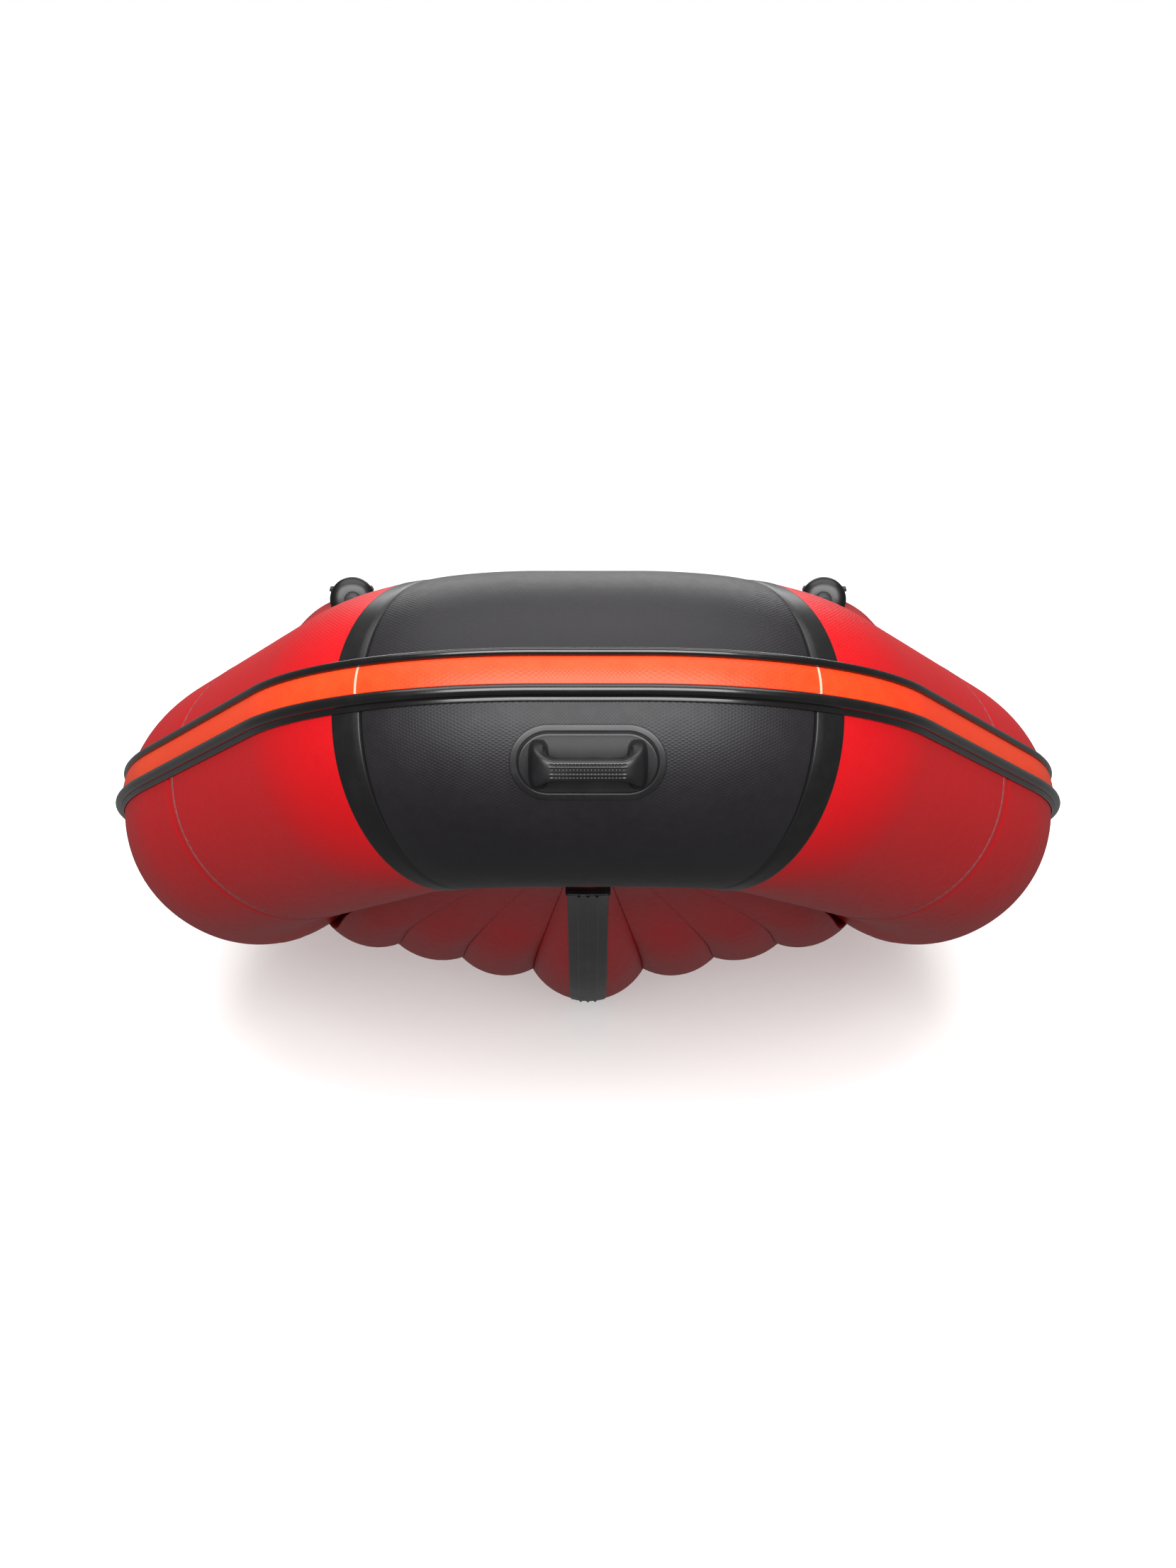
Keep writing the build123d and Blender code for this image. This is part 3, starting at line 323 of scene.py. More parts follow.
# Stern cones: the tapered red ends of the side tubes, each rolled from one flat sector and closed by
# a moulded black rubber cap with a rounded lip, which is glued over the end and takes the knocks.
cone_length, cone_tip, cap_length = 0.430, 0.062, 0.022


def turned(name, origin, axis, profile, material, body, steps=96, closed=True):
    """Surface of revolution: each profile point lies its first number along the axis and its second
    number out from it, carried round the axis in equal steps. closed ends it with a face at each
    end."""
    axis = np.array(axis, float) / np.linalg.norm(axis)
    across = np.cross(axis, [0, 0, 1] if abs(axis[2]) < 0.9 else [1, 0, 0])
    across /= np.linalg.norm(across)
    third = np.cross(axis, across)
    angle = np.linspace(0, 2 * np.pi, steps + 1)[:-1]
    ring = np.cos(angle)[:, None] * across + np.sin(angle)[:, None] * third
    profile = np.array(profile, float)
    points = np.array(origin, float) + profile[:, :1, None] * axis + profile[:, 1:, None] * ring
    run = np.concatenate([[0], np.cumsum(np.linalg.norm(np.diff(profile, axis=0), axis=1))])
    round_it = np.linspace(0, 2 * np.pi * profile[:, 1].max(), steps + 1)
    return skin(name, points, material, body, (run, round_it), ends=closed)


def rounded(profile, radius, steps=6):
    """Profile with each inner corner replaced by an arc: points of a quadratic curve from a radius
    before the corner to a radius after it, less where a side is short."""
    profile = np.array(profile, float)
    points = [profile[0]]
    blend = np.linspace(0, 1, steps)[:, None]
    for before, corner, after in zip(profile[:-2], profile[1:-1], profile[2:]):
        reach = [min(radius, 0.49 * np.linalg.norm(other - corner)) for other in (before, after)]
        start = corner + (before - corner) / max(np.linalg.norm(before - corner), 1e-9) * reach[0]
        end = corner + (after - corner) / max(np.linalg.norm(after - corner), 1e-9) * reach[1]
        points.extend((1 - blend) ** 2 * start + 2 * blend * (1 - blend) * corner + blend**2 * end)
    points.append(profile[-1])
    return np.array(points)


def moulded(name, colour, worn, roughness=0.45, grain=0.0012, depth=0.00012, coat=0.0):
    """Moulded plastic or rubber: an even colour with a fine pitted grain from the mould, which breaks
    the gloss, and paler scuffs where it has been handled. The grain is drawn at its real size."""
    material, tree, shader = finish_of(name, Coat_Weight=coat, Coat_Roughness=0.12)
    place = add(tree, "TexCoord").outputs["Object"]
    pits = add(tree, "TexNoise", inputs={"Vector": place, "Scale": 1 / grain, "Detail": 2.0})
    scuffs = add(tree, "TexNoise", inputs={"Vector": place, "Scale": 22.0, "Detail": 6.0, "Roughness": 0.65})
    share = add(tree, "MapRange", inputs={"Value": scuffs.outputs["Fac"], "From Min": 0.5, "From Max": 0.8})
    blend = {0: share.outputs["Result"], 6: linear(colour), 7: linear(worn)}
    paint = add(tree, "Mix", {"data_type": "RGBA"}, blend)
    tree.links.new(paint.outputs[2], shader.inputs["Base Color"])
    spread = {"Value": scuffs.outputs["Fac"], "To Min": roughness - 0.08, "To Max": roughness + 0.1}
    gloss = add(tree, "MapRange", inputs=spread)
    tree.links.new(gloss.outputs["Result"], shader.inputs["Roughness"])
    raised = add(tree, "Bump", inputs={"Height": pits.outputs["Fac"], "Strength": 0.5, "Distance": depth})
    tree.links.new(raised.outputs[0], shader.inputs["Normal"])
    return material


black_rubber = moulded("moulded_black_rubber", "141315", "232124", 0.42)
share = np.concatenate([[0, 0.004, 0.008, 0.013], np.linspace(0.02, 0.94, 40), [0.96, 0.98, 1.0]])
cone_profile = np.stack([share * cone_length, tube_radius + (cone_tip - tube_radius) * share], 1)
cone_profile[:, 1] += 0.004 * np.sin(np.pi * share) - 0.0012 * np.exp(-((share / 0.006) ** 2))
cap_profile = rounded(
    [
        (cone_length - 0.022, cone_tip + 0.006),
        (cone_length - 0.022, cone_tip + 0.0105),
        (cone_length - 0.003, cone_tip + 0.0055),
        (cone_length + 0.004, cone_tip + 0.001),
        (cone_length + cap_length, cone_tip - 0.004),
        (cone_length + cap_length, 0.030),
        (cone_length + cap_length - 0.003, 0.026),
        (cone_length + cap_length - 0.003, 0.001),
    ],
    0.006,
)
for side, sign in (("port", 1), ("starboard", -1)):
    base = (sign * stern_x, stern_y, stern_z)
    cone = turned(
        f"{side}_stern_cone_skin", base, (0, 1, 0), cone_profile, red_fabric, "hull", tube_steps, closed=False
    )
    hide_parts(f"{side}_stern_cone")
    cap = turned(f"{side}_stern_cone_cap", base, (0, 1, 0), cap_profile, black_rubber, "hull")
    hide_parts("stern_cone_caps")

# Baffles: discs of uncoated polyester inside the tubes at the side seams, which part the hull's air
# into three chambers. They are welded in before the tubes are closed, and only show if one is cut.
def dress(names, material, bevel=0.0):
    """Gives CAD nodes a finish, and rounds their sharp edges by a bevel of that width."""
    for name in names:
        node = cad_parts[name]
        if not node.material_slots:
            node.data.materials.append(material)
        for slot in node.material_slots:
            slot.material = material
        if bevel:
            node.modifiers.new("joined", "WELD").merge_threshold = 0.00001
            edge = node.modifiers.new("worn_edge", "BEVEL")
            edge.width = bevel
            edge.segments = 3
            edge.limit_method = "ANGLE"
            edge.angle_limit = np.radians(40)


baffle_cloth = coated_fabric("uncoated_baffle_polyester", "8A8A86", "9A9A95", (), "000000", 0.7)
dress(["tube_baffles"], baffle_cloth)

# Bow seam tapes: 42 mm bands of smooth black PVC, welded over the seams beside the bow panel on the
# shoulder's side. The plain coating has no weave, so it is darker and glossier than the panel. Its
# width on the outer skin is less on the tube's axis, by the ratio of their bend radii.
tape_width = 0.042 * corner_bend / (corner_bend + tube_radius)
tape_vinyl = moulded("smooth_black_vinyl_tape", "0D0C0D", "151415", 0.34, 0.004, 0.00005)
tape_rows = np.concatenate([[-tape_width, -0.0215], np.linspace(-0.021, 0.0, 15), [0.0006, 0.0009]])
tape_rows = bow_seam + tape_rows
for side, rows in (("port", tape_rows), ("starboard", 2 * hull_half - tape_rows[::-1])):
    folded = folded_length(rows)
    edge = np.minimum(folded - tape_rows[0], tape_rows[-1] - folded)
    tape_lift = 0.0008 * np.clip(edge / 0.0006, 0, 1)[:, None] - 0.0001
    sunk = seam_dip(folded, full_turn[None], bow_seam)
    tape = skin(
        f"{side}_bow_seam_tape",
        tube_surface(rows, full_turn[None], tube_radius + tape_lift - sunk),
        tape_vinyl,
        "hull",
        (folded, girth),
    )
    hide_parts("bow_seam_tapes")

# Rub rail: one extruded black PVC profile glued round the hull from cone to cone. Two round beads
# fend off the quay, a thin flange hangs below them, and a channel between them holds the strip.
rail_angle, rail_foot, rail_channel = np.radians(9), 0.21065, 0.002
rail_vinyl = moulded("glossy_extruded_black_vinyl", "080708", "121112", 0.24, 0.006, 0.00008, 0.4)


def bead(centre, radius, start, end, count=22):
    """Round bead of the profile: points of a circle between two angles, as width and height."""
    angle = np.radians(np.linspace(start, end, count))
    return np.stack([centre + radius * np.cos(angle), radius + radius * np.sin(angle)], 1)


def rail_surface(profile, rows):
    """Carries a flat profile round the tube: its height adds to the foot radius, and its width
    becomes an angle about the tube's axis, measured from the middle of the rail."""
    angle = rail_angle + profile[:, 0] / (rail_foot + rail_channel)
    return tube_surface(rows, angle[None], (rail_foot + profile[:, 1])[None] + 0 * rows[:, None])


lower_bead, upper_bead = 0.0262, 0.0238
rail_profile = np.concatenate(
    [
        [(-0.0395, 0.0002), (-0.0397, 0.0016), (-0.0385, 0.0023), (-0.0350, 0.0022)],
        bead(-lower_bead, 0.0075, 215, -35),
        [(-0.0188, 0.0024), (-0.0184, rail_channel), (0.0, rail_channel), (0.0184, rail_channel)],
        bead(upper_bead, 0.0055, 215, -70),
        [(0.0245, 0.0), (0.0, 0.0), (-0.0280, 0.0)],
    ]
)
rail_rows = rows_between(0.0, 2 * hull_half, 0.010)
run = np.concatenate([[0], np.cumsum(np.linalg.norm(np.diff(rail_profile, axis=0), axis=1)), [0.2]])
rail_lengths = folded_length(rail_rows)
rail_points = rail_surface(rail_profile, rail_rows)
rail = skin("rub_rail_beads", rail_points, rail_vinyl, "hull", (rail_lengths, run), ends=True)
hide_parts("rub_rail")

# Rail strip: a 36 mm orange-red PVC strip pressed into the rail's channel. It is butted at the bow
# seams, where a pale hairline shows, and its face is slightly crowned.
strip_vinyl = coated_fabric(
    "orange_red_vinyl_strip", "F0380F", "F54A1E", (bow_seam,), "FFB09A", 0.36, 0.004
)
strip_half = 0.0181
strip_width = np.linspace(-strip_half, strip_half, 25)
strip_profile = np.concatenate(
    [
        [(-strip_half - 0.0002, 0.0021), (-strip_half - 0.0003, 0.0034)],
        np.stack([strip_width, 0.0046 + 0.0012 * (1 - (strip_width / strip_half) ** 2)], 1),
        [(strip_half + 0.0003, 0.0034), (strip_half + 0.0002, 0.0021), (0.0, 0.00205)],
    ]
)
run = np.concatenate([[0], np.cumsum(np.linalg.norm(np.diff(strip_profile, axis=0), axis=1)), [0.085]])
strip_points = rail_surface(strip_profile, rail_rows)
strip = skin("rail_strip", strip_points, strip_vinyl, "hull", (rail_lengths, run), ends=True)
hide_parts("rub_rail_insert")

# Air floor: seven lengthwise cells of the red fabric, welded to each other along creased seams. They
# fill to a deep V with the keel cell lowest, and narrow to a toe behind the bow tube. At the rise
# the outer cells stand up to 29 mm off the tubes, and the toe up to 19 mm, with no skirt between.
rib_places = np.array([1.1457, -0.35126, -0.58087, -0.86280, -1.28127, -1.354])
rib_sizes = np.array(
    [
        # half-width, keel height, depth to the side edge, side height
        (0.500, 0.004, 0.13397, 0.060),
        (0.500, 0.004, 0.13397, 0.060),
        (0.452, 0.04967, 0.13397, 0.060),
        (0.385, 0.16645, 0.13397, 0.060),
        (0.17181, 0.44027, 0.03349, 0.030),
        (0.150, 0.48203, 0.0072, 0.0133),
    ]
)
# Shares of the half-width, and of the depth to the side edge, from the keel cell outwards
cell_edges = (0.22, 0.50, 0.75, 1.0)
seam_heights = (0.44, 0.60, 0.79, 1.0)
crest_heights = (0.0, 0.35, 0.57, 0.75)


def floor_sizes(y):
    """Sizes of the floor's section at those places: constant aft of the rise, and forward of it
    cubics between the ribs whose slopes are the mean of the slopes on either side."""
    at, sizes = -rib_places[1:], rib_sizes[1:]
    slopes = np.diff(sizes, axis=0) / np.diff(at)[:, None]
    gaps = np.diff(at)[:, None]
    inner = (slopes[:-1] * gaps[1:] + slopes[1:] * gaps[:-1]) / (gaps[:-1] + gaps[1:])
    slope = np.concatenate([[2 * slopes[0] - inner[0]], inner, [2 * slopes[-1] - inner[-1]]])
    slope[0] = np.where(np.abs(slopes[0]) < 1e-9, 0, slope[0])
    ahead = np.clip(-y, at[0], at[-1])
    k = np.clip(np.searchsorted(at, ahead, "right") - 1, 0, len(at) - 2)
    gap = gaps[k]
    t = (ahead - at[k])[:, None] / gap
    start, end = sizes[k], sizes[k + 1]
    curve = (2 * t**3 - 3 * t**2 + 1) * start + (t**3 - 2 * t**2 + t) * gap * slope[k]
    return (curve + (3 * t**2 - 2 * t**3) * end + (t**3 - t**2) * gap * slope[k + 1]).T


def bowed(start, middle, end, steps):
    """Arc through three points for each row: the circle about the point equally far from all three,
    run from the start's angle through the middle's to the end's."""
    a, b, c = (p[..., 0] + 1j * p[..., 1] for p in (start, middle, end))
    w = (c - a) / (b - a)
    centre = (b - a) * (w - np.abs(w) ** 2) / (2j * w.imag) + a
    sweep = np.angle((c - centre) / (a - centre))
    half = np.angle((b - centre) / (a - centre))
    sweep = np.where(np.sign(sweep) == np.sign(half), sweep, sweep + np.sign(half) * 2 * np.pi)
    turn = np.linspace(0, 1, steps)[None] * sweep[:, None]
    arc = centre[:, None] + (a - centre)[:, None] * np.exp(1j * turn)
    return np.stack([arc.real, arc.imag], -1)


# The floor is the same red PVC as the tubes. Its copy here is darker, A80A12 against BE0710, as painted shade
# for the floor's shaded place under the boat.
floor_fabric_darkened_as_shade = coated_fabric("red_floor_polyester_darkened_as_shade", "A80A12", "B01018", (), "000000", 0.44)
floor_rows = np.concatenate(
    [np.linspace(rib_places[0], -0.34, 90), np.linspace(-0.352, rib_places[-1], 150)]
)
half, keel, depth, wall = floor_sizes(floor_rows)
crown_height = 0.014
crown = np.minimum(crown_height, wall)
ceiling = keel + depth + wall - crown


def floor_cell(cell, sign):
    """Closed section of one cell on every rib: an arc below from seam to seam, a web up each side and
    a shallow arc above. The crests flatten towards the toe by a logistic step. Short puckers, two
    sines multiplied, run off each seam where the skins are pulled together."""
    inner = 0.0 if cell == 0 else cell_edges[cell - 1]
    inner_height = 0.0 if cell == 0 else seam_heights[cell - 1]
    pair = lambda x, z: np.stack([x, z], -1)
    web, top_share, pucker_reach = 0.0003, 0.84, 0.022
    low_out = pair(half * cell_edges[cell] - web, keel + depth * seam_heights[cell])
    low_in = pair(half * inner + web, keel + depth * inner_height)
    middle_height = (inner_height + seam_heights[cell]) / 2
    flat_toe = 1 / (1 + np.exp((floor_rows + 1.06 - 0.05 * cell) / 0.035))
    crest = crest_heights[cell] + 0.85 * flat_toe * (middle_height - crest_heights[cell])
    low_mid = pair(half * (inner + cell_edges[cell]) / 2, keel + depth * crest)
    if cell == 0:
        low_mid = pair(0 * half, keel)
        low_in = low_out * [-1, 1]
    high_out = pair(low_out[:, 0] * (top_share if cell == 3 else 1.0), ceiling)
    high_in = pair(low_in[:, 0], ceiling)
    high_mid = (high_in + high_out) / 2 + pair(0 * half, crown)
    below = bowed(low_in, low_mid, low_out, 61)
    share = np.linspace(0, 1, 61)[None]
    edge_gap = np.minimum(share, 1 - share) * np.linalg.norm(low_out - low_in, axis=1)[:, None]
    ahead = floor_rows[:, None]
    ripple = np.sin(ahead * 131 + 3.1 * cell + 2.3 * np.sin(ahead * 17 + cell))
    ripple = ripple * (0.55 + 0.45 * np.sin(ahead * 37 + 2 * cell))
    toe = np.exp(-(((ahead + 1.20) / 0.09) ** 2))
    below[..., 1] += (0.0004 + 0.0006 * toe) * ripple * np.exp(-edge_gap / pucker_reach) * (edge_gap > 0)
    above = bowed(high_out, high_mid, high_in, 31)
    rise = np.linspace(0, 1, 8)[None, 1:-1, None]
    up_side = low_out[:, None] + (high_out - low_out)[:, None] * rise
    down_side = high_in[:, None] + (low_in - high_in)[:, None] * rise
    section = np.concatenate([below, up_side, above, down_side], 1)
    places = np.broadcast_to(floor_rows[:, None], section.shape[:2])
    points = np.stack([sign * section[..., 0], places, section[..., 1]], -1)
    round_section = np.linalg.norm(np.diff(section[0], axis=0, append=section[0][:1]), axis=1)
    return points, np.concatenate([[0], np.cumsum(round_section)])


floor_valve = (0.3125, 1.040, 0.150)
floor_cells = [("keel_cell", 0, 1)]
for number, name in ((1, "inner_cell"), (2, "middle_cell"), (3, "outer_cell")):
    floor_cells += [(f"port_{name}", number, 1), (f"starboard_{name}", number, -1)]
for name, number, sign in floor_cells:
    points, run = floor_cell(number, sign)
    keep = clear_of_valve(floor_valve, (0, 0, 1)) if name == "port_middle_cell" else None
    cell = skin(f"{name}_skin", points, floor_fabric_darkened_as_shade, "hull", (floor_rows, run), ends=True, keep=keep)
    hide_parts(name)

# Keel guard: a 62 mm extruded strip of black PVC with lengthwise ribs, glued down the keel cell so
# that the boat can be dragged up a beach. Its front end is trimmed and curls off the toe a little.
guard_half, guard_thick, lip_radius = 0.031, 0.0016, 0.6
rib_pitch, rib_height, ribbed_half = 0.0125, 0.0030, 0.0160
lip_reach, lip_drop = 0.014, 0.007
guard_vinyl = moulded("ribbed_black_keel_vinyl", "111012", "26242A", 0.36, 0.002, 0.0001)
curl = np.linspace(0, 1, 9)[1:]
guard_rows = np.concatenate([floor_rows, np.full(len(curl), floor_rows[-1])])
edge_x, sag = half * cell_edges[0], depth * seam_heights[0]
keel_radius = np.concatenate([(edge_x**2 + sag**2) / (2 * sag), np.full(len(curl), lip_radius)])
keel_radius = np.minimum(keel_radius, 0.9)
keel_height = np.concatenate([keel, np.full(len(curl), keel[-1])])
across = np.linspace(-guard_half, guard_half, 81)
crests = np.clip(np.cos(across * 2 * np.pi / rib_pitch) - 0.15, 0, 1)
ribs = guard_thick + rib_height * crests * (np.abs(across) < ribbed_half)
ribs = ribs * np.clip((guard_half - np.abs(across)) / 0.003 + 0.3, 0, 1)
width = np.concatenate([across, across[::-1][::8]])
height = np.concatenate([ribs, 0.0002 + 0 * across[::8]])
angle = width[None] / keel_radius[:, None]
reach = keel_radius[:, None] + height[None]
points = np.stack(
    [
        reach * np.sin(angle),
        np.broadcast_to(guard_rows[:, None], angle.shape),
        keel_height[:, None] + keel_radius[:, None] - reach * np.cos(angle),
    ],
    -1,
)
points[-len(curl) :, :, 1] -= (lip_reach * curl)[:, None]
points[-len(curl) :, :, 2] -= (lip_drop * curl**2)[:, None]
run = np.concatenate([[0], np.cumsum(np.abs(np.diff(width))), [0.13]])
guard = skin("keel_guard_strip", points, guard_vinyl, "hull", (guard_rows, run), ends=True)
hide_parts("keel_guard")

# Bow handle patch: a moulded black PVC oval glued to the front of the bow tube, with a fine welded
# line inside its edge and a raised boss that the grip stands on.
patch_length, patch_height = 0.195, 0.097
handle_vinyl = moulded("moulded_black_handle_vinyl", "121113", "1E1C1F", 0.38, 0.0011, 0.00015)


def slot_outline(length, height, steps=160):
    """Outline with straight long sides and half-round ends, at equal steps of its own length."""
    radius, straight = height / 2, length - height
    total = 2 * straight + 2 * np.pi * radius
    s = np.linspace(0, total, steps + 1)[:-1]
    turn_one = np.clip((s - straight) / radius, 0, np.pi)
    turn_two = np.clip((s - 2 * straight - np.pi * radius) / radius, 0, np.pi)
    slide = np.clip(s, 0, straight) - np.clip(s - straight - np.pi * radius, 0, straight)
    swing = turn_one + turn_two
    return np.stack([slide - straight / 2 + radius * np.sin(swing), -radius * np.cos(swing)], 1)


def on_bow(across, upward, lift):
    """Points of the bow tube's front: a distance to port, a distance up its curve from the foremost
    line, and a height off the skin. Past the straight front, a distance on the skin is longer than
    on the tube's axis by the ratio of their bend radii."""
    along = np.clip(across.ravel(), -bow_flat, bow_flat)
    along += (across.ravel() - along) / (1 + tube_radius * np.cos(bow_pitch) / corner_bend)
    place, out, up = hull_line(hull_half - along)
    angle = (upward.ravel() / tube_radius - bow_pitch)[:, None]
    radius = (tube_radius + lift.ravel())[:, None]
    return (place + radius * (np.cos(angle) * out + np.sin(angle) * up)).reshape(*across.shape, 3)


patch_rings = [
    # inset from the edge, and lift off the tube, in millimetres
    (0.0, 0.0), (0.1, 0.7), (0.5, 1.2), (1.2, 1.4), (4.0, 1.5), (7.0, 1.5), (9.4, 1.5), (9.8, 0.9),
    (10.2, 0.9), (10.5, 2.4), (10.9, 3.9), (11.5, 4.7), (12.4, 5.1), (13.4, 5.2), (14.4, 5.1), (16.0, 5.0),
    (20.0, 4.9), (26.0, 4.9), (32.0, 5.0), (38.0, 5.0), (43.0, 5.0),
]
insets = [2 * inset / 1000 for inset, lift in patch_rings]
rings = np.array([slot_outline(patch_length - less, patch_height - less) for less in insets])
lifts = np.array([lift / 1000 for inset, lift in patch_rings])[:, None] + 0 * rings[..., 0]
points = on_bow(rings[..., 0], rings[..., 1], lifts)
patch = skin("bow_handle_patch", points, handle_vinyl, "hull", ends=True, facing=(0, -1, 0))
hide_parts("bow_handle_base")

# Bow handle grip: a black rubber bar on two flared feet, moulded in one with the patch's boss. Its
# front is pitted with four rows of dimples that a wet hand can hold.
boss_y, grip_y, grip_z = -1.6088, -1.650, 0.71248
bar_half, bar_thick, bar_tall, foot_tall = 0.0610, 0.0075, 0.0130, 0.0310
bend = 0.020
dimple_depth, dimple_pitch_x, dimple_pitch_z = 0.0016, 0.0043, 0.0046
dimpled_half, dimpled_tall = 0.0452, 0.0095
rise = boss_y - grip_y - bar_thick
leg = np.linspace(-0.002, rise - bend, 26)
turn = np.linspace(0, np.pi / 2, 30)[1:]
half_path = np.concatenate(
    [
        np.stack([0 * leg - bar_half, leg], 1),
        np.stack([-bar_half + bend * (1 - np.cos(turn)), rise - bend + bend * np.sin(turn)], 1),
    ]
)
bar = np.linspace(-bar_half + bend, bar_half - bend, 129)[1:-1]
path = np.concatenate([half_path, np.stack([bar, 0 * bar + rise], 1), (half_path * [-1, 1])[::-1]])
heading = np.gradient(path, axis=0)
heading /= np.linalg.norm(heading, axis=1)[:, None]
sideways = np.stack([-heading[:, 1], heading[:, 0]], 1)
walked = np.concatenate([[0], np.cumsum(np.linalg.norm(np.diff(path, axis=0), axis=1))])
to_foot = np.abs(walked - walked[-1] / 2) - (bar_half - bend)
flare = np.clip(to_foot / (walked[-1] / 2 - bar_half + bend), 0, 1)
flare = flare**2 * (3 - 2 * flare)
tall = bar_tall + (foot_tall - bar_tall) * flare**0.8
thick = bar_thick + 0.0055 * flare
spin = np.linspace(0, 2 * np.pi, 121)[:-1]
squarish = lambda w: np.sign(w) * np.abs(w) ** 0.62
out_part, tall_part = squarish(np.cos(spin))[None], squarish(np.sin(spin))[None]
section_z = tall[:, None] * tall_part
on_bar = (np.abs(path[:, :1]) < dimpled_half) & (np.cos(spin)[None] > 0) & (np.abs(section_z) < dimpled_tall)
dimples = 0.5 + 0.5 * np.cos(path[:, :1] * 2 * np.pi / dimple_pitch_x)
dimples = dimples * (0.5 + 0.5 * np.cos((section_z / dimple_pitch_z + 0.5) * 2 * np.pi))
offset = thick[:, None] * out_part - dimple_depth * on_bar * np.clip(1.6 * dimples, 0, 1)
flat_points = path[:, None] + offset[..., None] * sideways[:, None]
points = np.stack([flat_points[..., 0], boss_y - flat_points[..., 1], grip_z + section_z + 0 * offset], -1)
grip = skin("bow_handle_bar", points, handle_vinyl, "hull", ends=True)
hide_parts("bow_handle_grip")

# Transom: a 35 mm marine plywood board, varnished, with edges that show its plies. It closes the
# stern between the side tubes and carries the outboard motor.
def plywood(name, face, figure, across_axis):
    """Varnished birch plywood: long flame figure in the face veneer, drawn as stretched noise, and
    plies 1.4 mm thick that stripe the edges. The varnish is a thin clear coat."""
    ply = 0.0014
    material, tree, shader = finish_of(name, Roughness=0.45, Coat_Weight=0.5, Coat_Roughness=0.18)
    place = add(tree, "TexCoord").outputs["Object"]
    long_grain = add(tree, "Mapping", inputs={"Vector": place, "Scale": (3.0, 48.0, 48.0)})
    figuring = {"Vector": long_grain.outputs[0], "Scale": 2.2, "Detail": 7.0, "Distortion": 0.8}
    flame = add(tree, "TexNoise", inputs=figuring)
    share = add(tree, "MapRange", inputs={"Value": flame.outputs["Fac"], "From Min": 0.35, "From Max": 0.68})
    blend = {0: share.outputs["Result"], 6: linear(face), 7: linear(figure)}
    veneer = add(tree, "Mix", {"data_type": "RGBA"}, blend)
    axis = add(tree, "SeparateXYZ", inputs={"Vector": place}).outputs[across_axis]
    plies = add(tree, "Math", {"operation": "PINGPONG"}, {0: axis, 1: 2 * ply})
    dark_ply = add(tree, "Math", {"operation": "GREATER_THAN"}, {0: plies.outputs[0], 1: ply})
    blend = {0: dark_ply.outputs[0], 6: linear("C79A62"), 7: linear("7C5230")}
    edge_wood = add(tree, "Mix", {"data_type": "RGBA"}, blend)
    normal = add(tree, "NewGeometry").outputs["Normal"]
    facing = add(tree, "SeparateXYZ", inputs={"Vector": normal}).outputs[across_axis]
    size = add(tree, "Math", {"operation": "ABSOLUTE"}, {0: facing})
    on_edge = add(tree, "Math", {"operation": "LESS_THAN"}, {0: size.outputs[0], 1: 0.6})
    blend = {0: on_edge.outputs[0], 6: veneer.outputs[2], 7: edge_wood.outputs[2]}
    paint = add(tree, "Mix", {"data_type": "RGBA"}, blend)
    tree.links.new(paint.outputs[2], shader.inputs["Base Color"])
    pores = add(tree, "TexNoise", inputs={"Vector": long_grain.outputs[0], "Scale": 30.0, "Detail": 3.0})
    raised = add(tree, "Bump", inputs={"Height": pores.outputs["Fac"], "Strength": 0.3, "Distance": 0.0002})
    tree.links.new(raised.outputs[0], shader.inputs["Normal"])
    return material


board_plywood = plywood("varnished_marine_plywood_board", "B98A55", "8E6236", "Y")
dress(["transom_board"], board_plywood, 0.002)

# Motor pads: plates of black nylon bolted through the transom, the outer one for the motor bracket
# and the inner one for its clamp screws. They are moulded with a matt grain.
black_nylon = moulded("moulded_black_nylon", "17181A", "28292C", 0.5, 0.0016, 0.0002)
dress(["transom_outer_pad", "transom_inner_pad"], black_nylon, 0.0012)

# Transom holders: black rubber channels glued to the side tubes, which the board slides into.
# The rubber is ground flat where it is glued and left matt elsewhere.
dress(["transom_holders"], black_rubber, 0.0025)


# Bolts, nuts and tow eyes: marine stainless steel. The bolts clamp the pads through the board, and
# the bent eyes take a towing bridle. The steel is drawn bar, polished, with faint lines round it.
def polished_metal(name, colour, roughness, scratch=0.0006):
    """Polished or anodised metal: a bright reflection, softened by fine scratches in the surface."""
    material, tree, shader = finish_of(name, Metallic=1.0)
    place = add(tree, "TexCoord").outputs["Object"]
    streaks = {"Vector": place, "Scale": 1 / scratch / 8, "Detail": 4.0, "Roughness": 0.7}
    marks = add(tree, "TexNoise", inputs=streaks)
    tint = add(tree, "MapRange", inputs={"Value": marks.outputs["Fac"], "From Min": 0.3, "From Max": 0.7})
    dull = "".join(f"{int(int(colour[i:i + 2], 16) * 0.86):02X}" for i in (0, 2, 4))
    blend = {0: tint.outputs["Result"], 6: linear(colour), 7: linear(dull)}
    paint = add(tree, "Mix", {"data_type": "RGBA"}, blend)
    tree.links.new(paint.outputs[2], shader.inputs["Base Color"])
    spread = {"Value": marks.outputs["Fac"], "To Min": roughness - 0.05, "To Max": roughness + 0.12}
    rough = add(tree, "MapRange", inputs=spread)
    tree.links.new(rough.outputs["Result"], shader.inputs["Roughness"])
    return material


stainless = polished_metal("polished_stainless_steel", "C9CACC", 0.18)
dress(["transom_bolts", "transom_nuts", "tow_eyes"], stainless)

# Drain: a black nylon tube with a flange on each face of the board, and a rubber flap behind it
# that hangs on a moulded pin, lets water out and falls shut.
dress(["drain_body"], black_nylon, 0.0006)
dress(["drain_flap"], black_rubber, 0.0006)

# Seat tracks: extruded black PVC bolt ropes glued along the inside of the tubes, which the seats'
# clamps slide on. The bead is as glossy as the rub rail.
dress(["seat_tracks"], rail_vinyl)

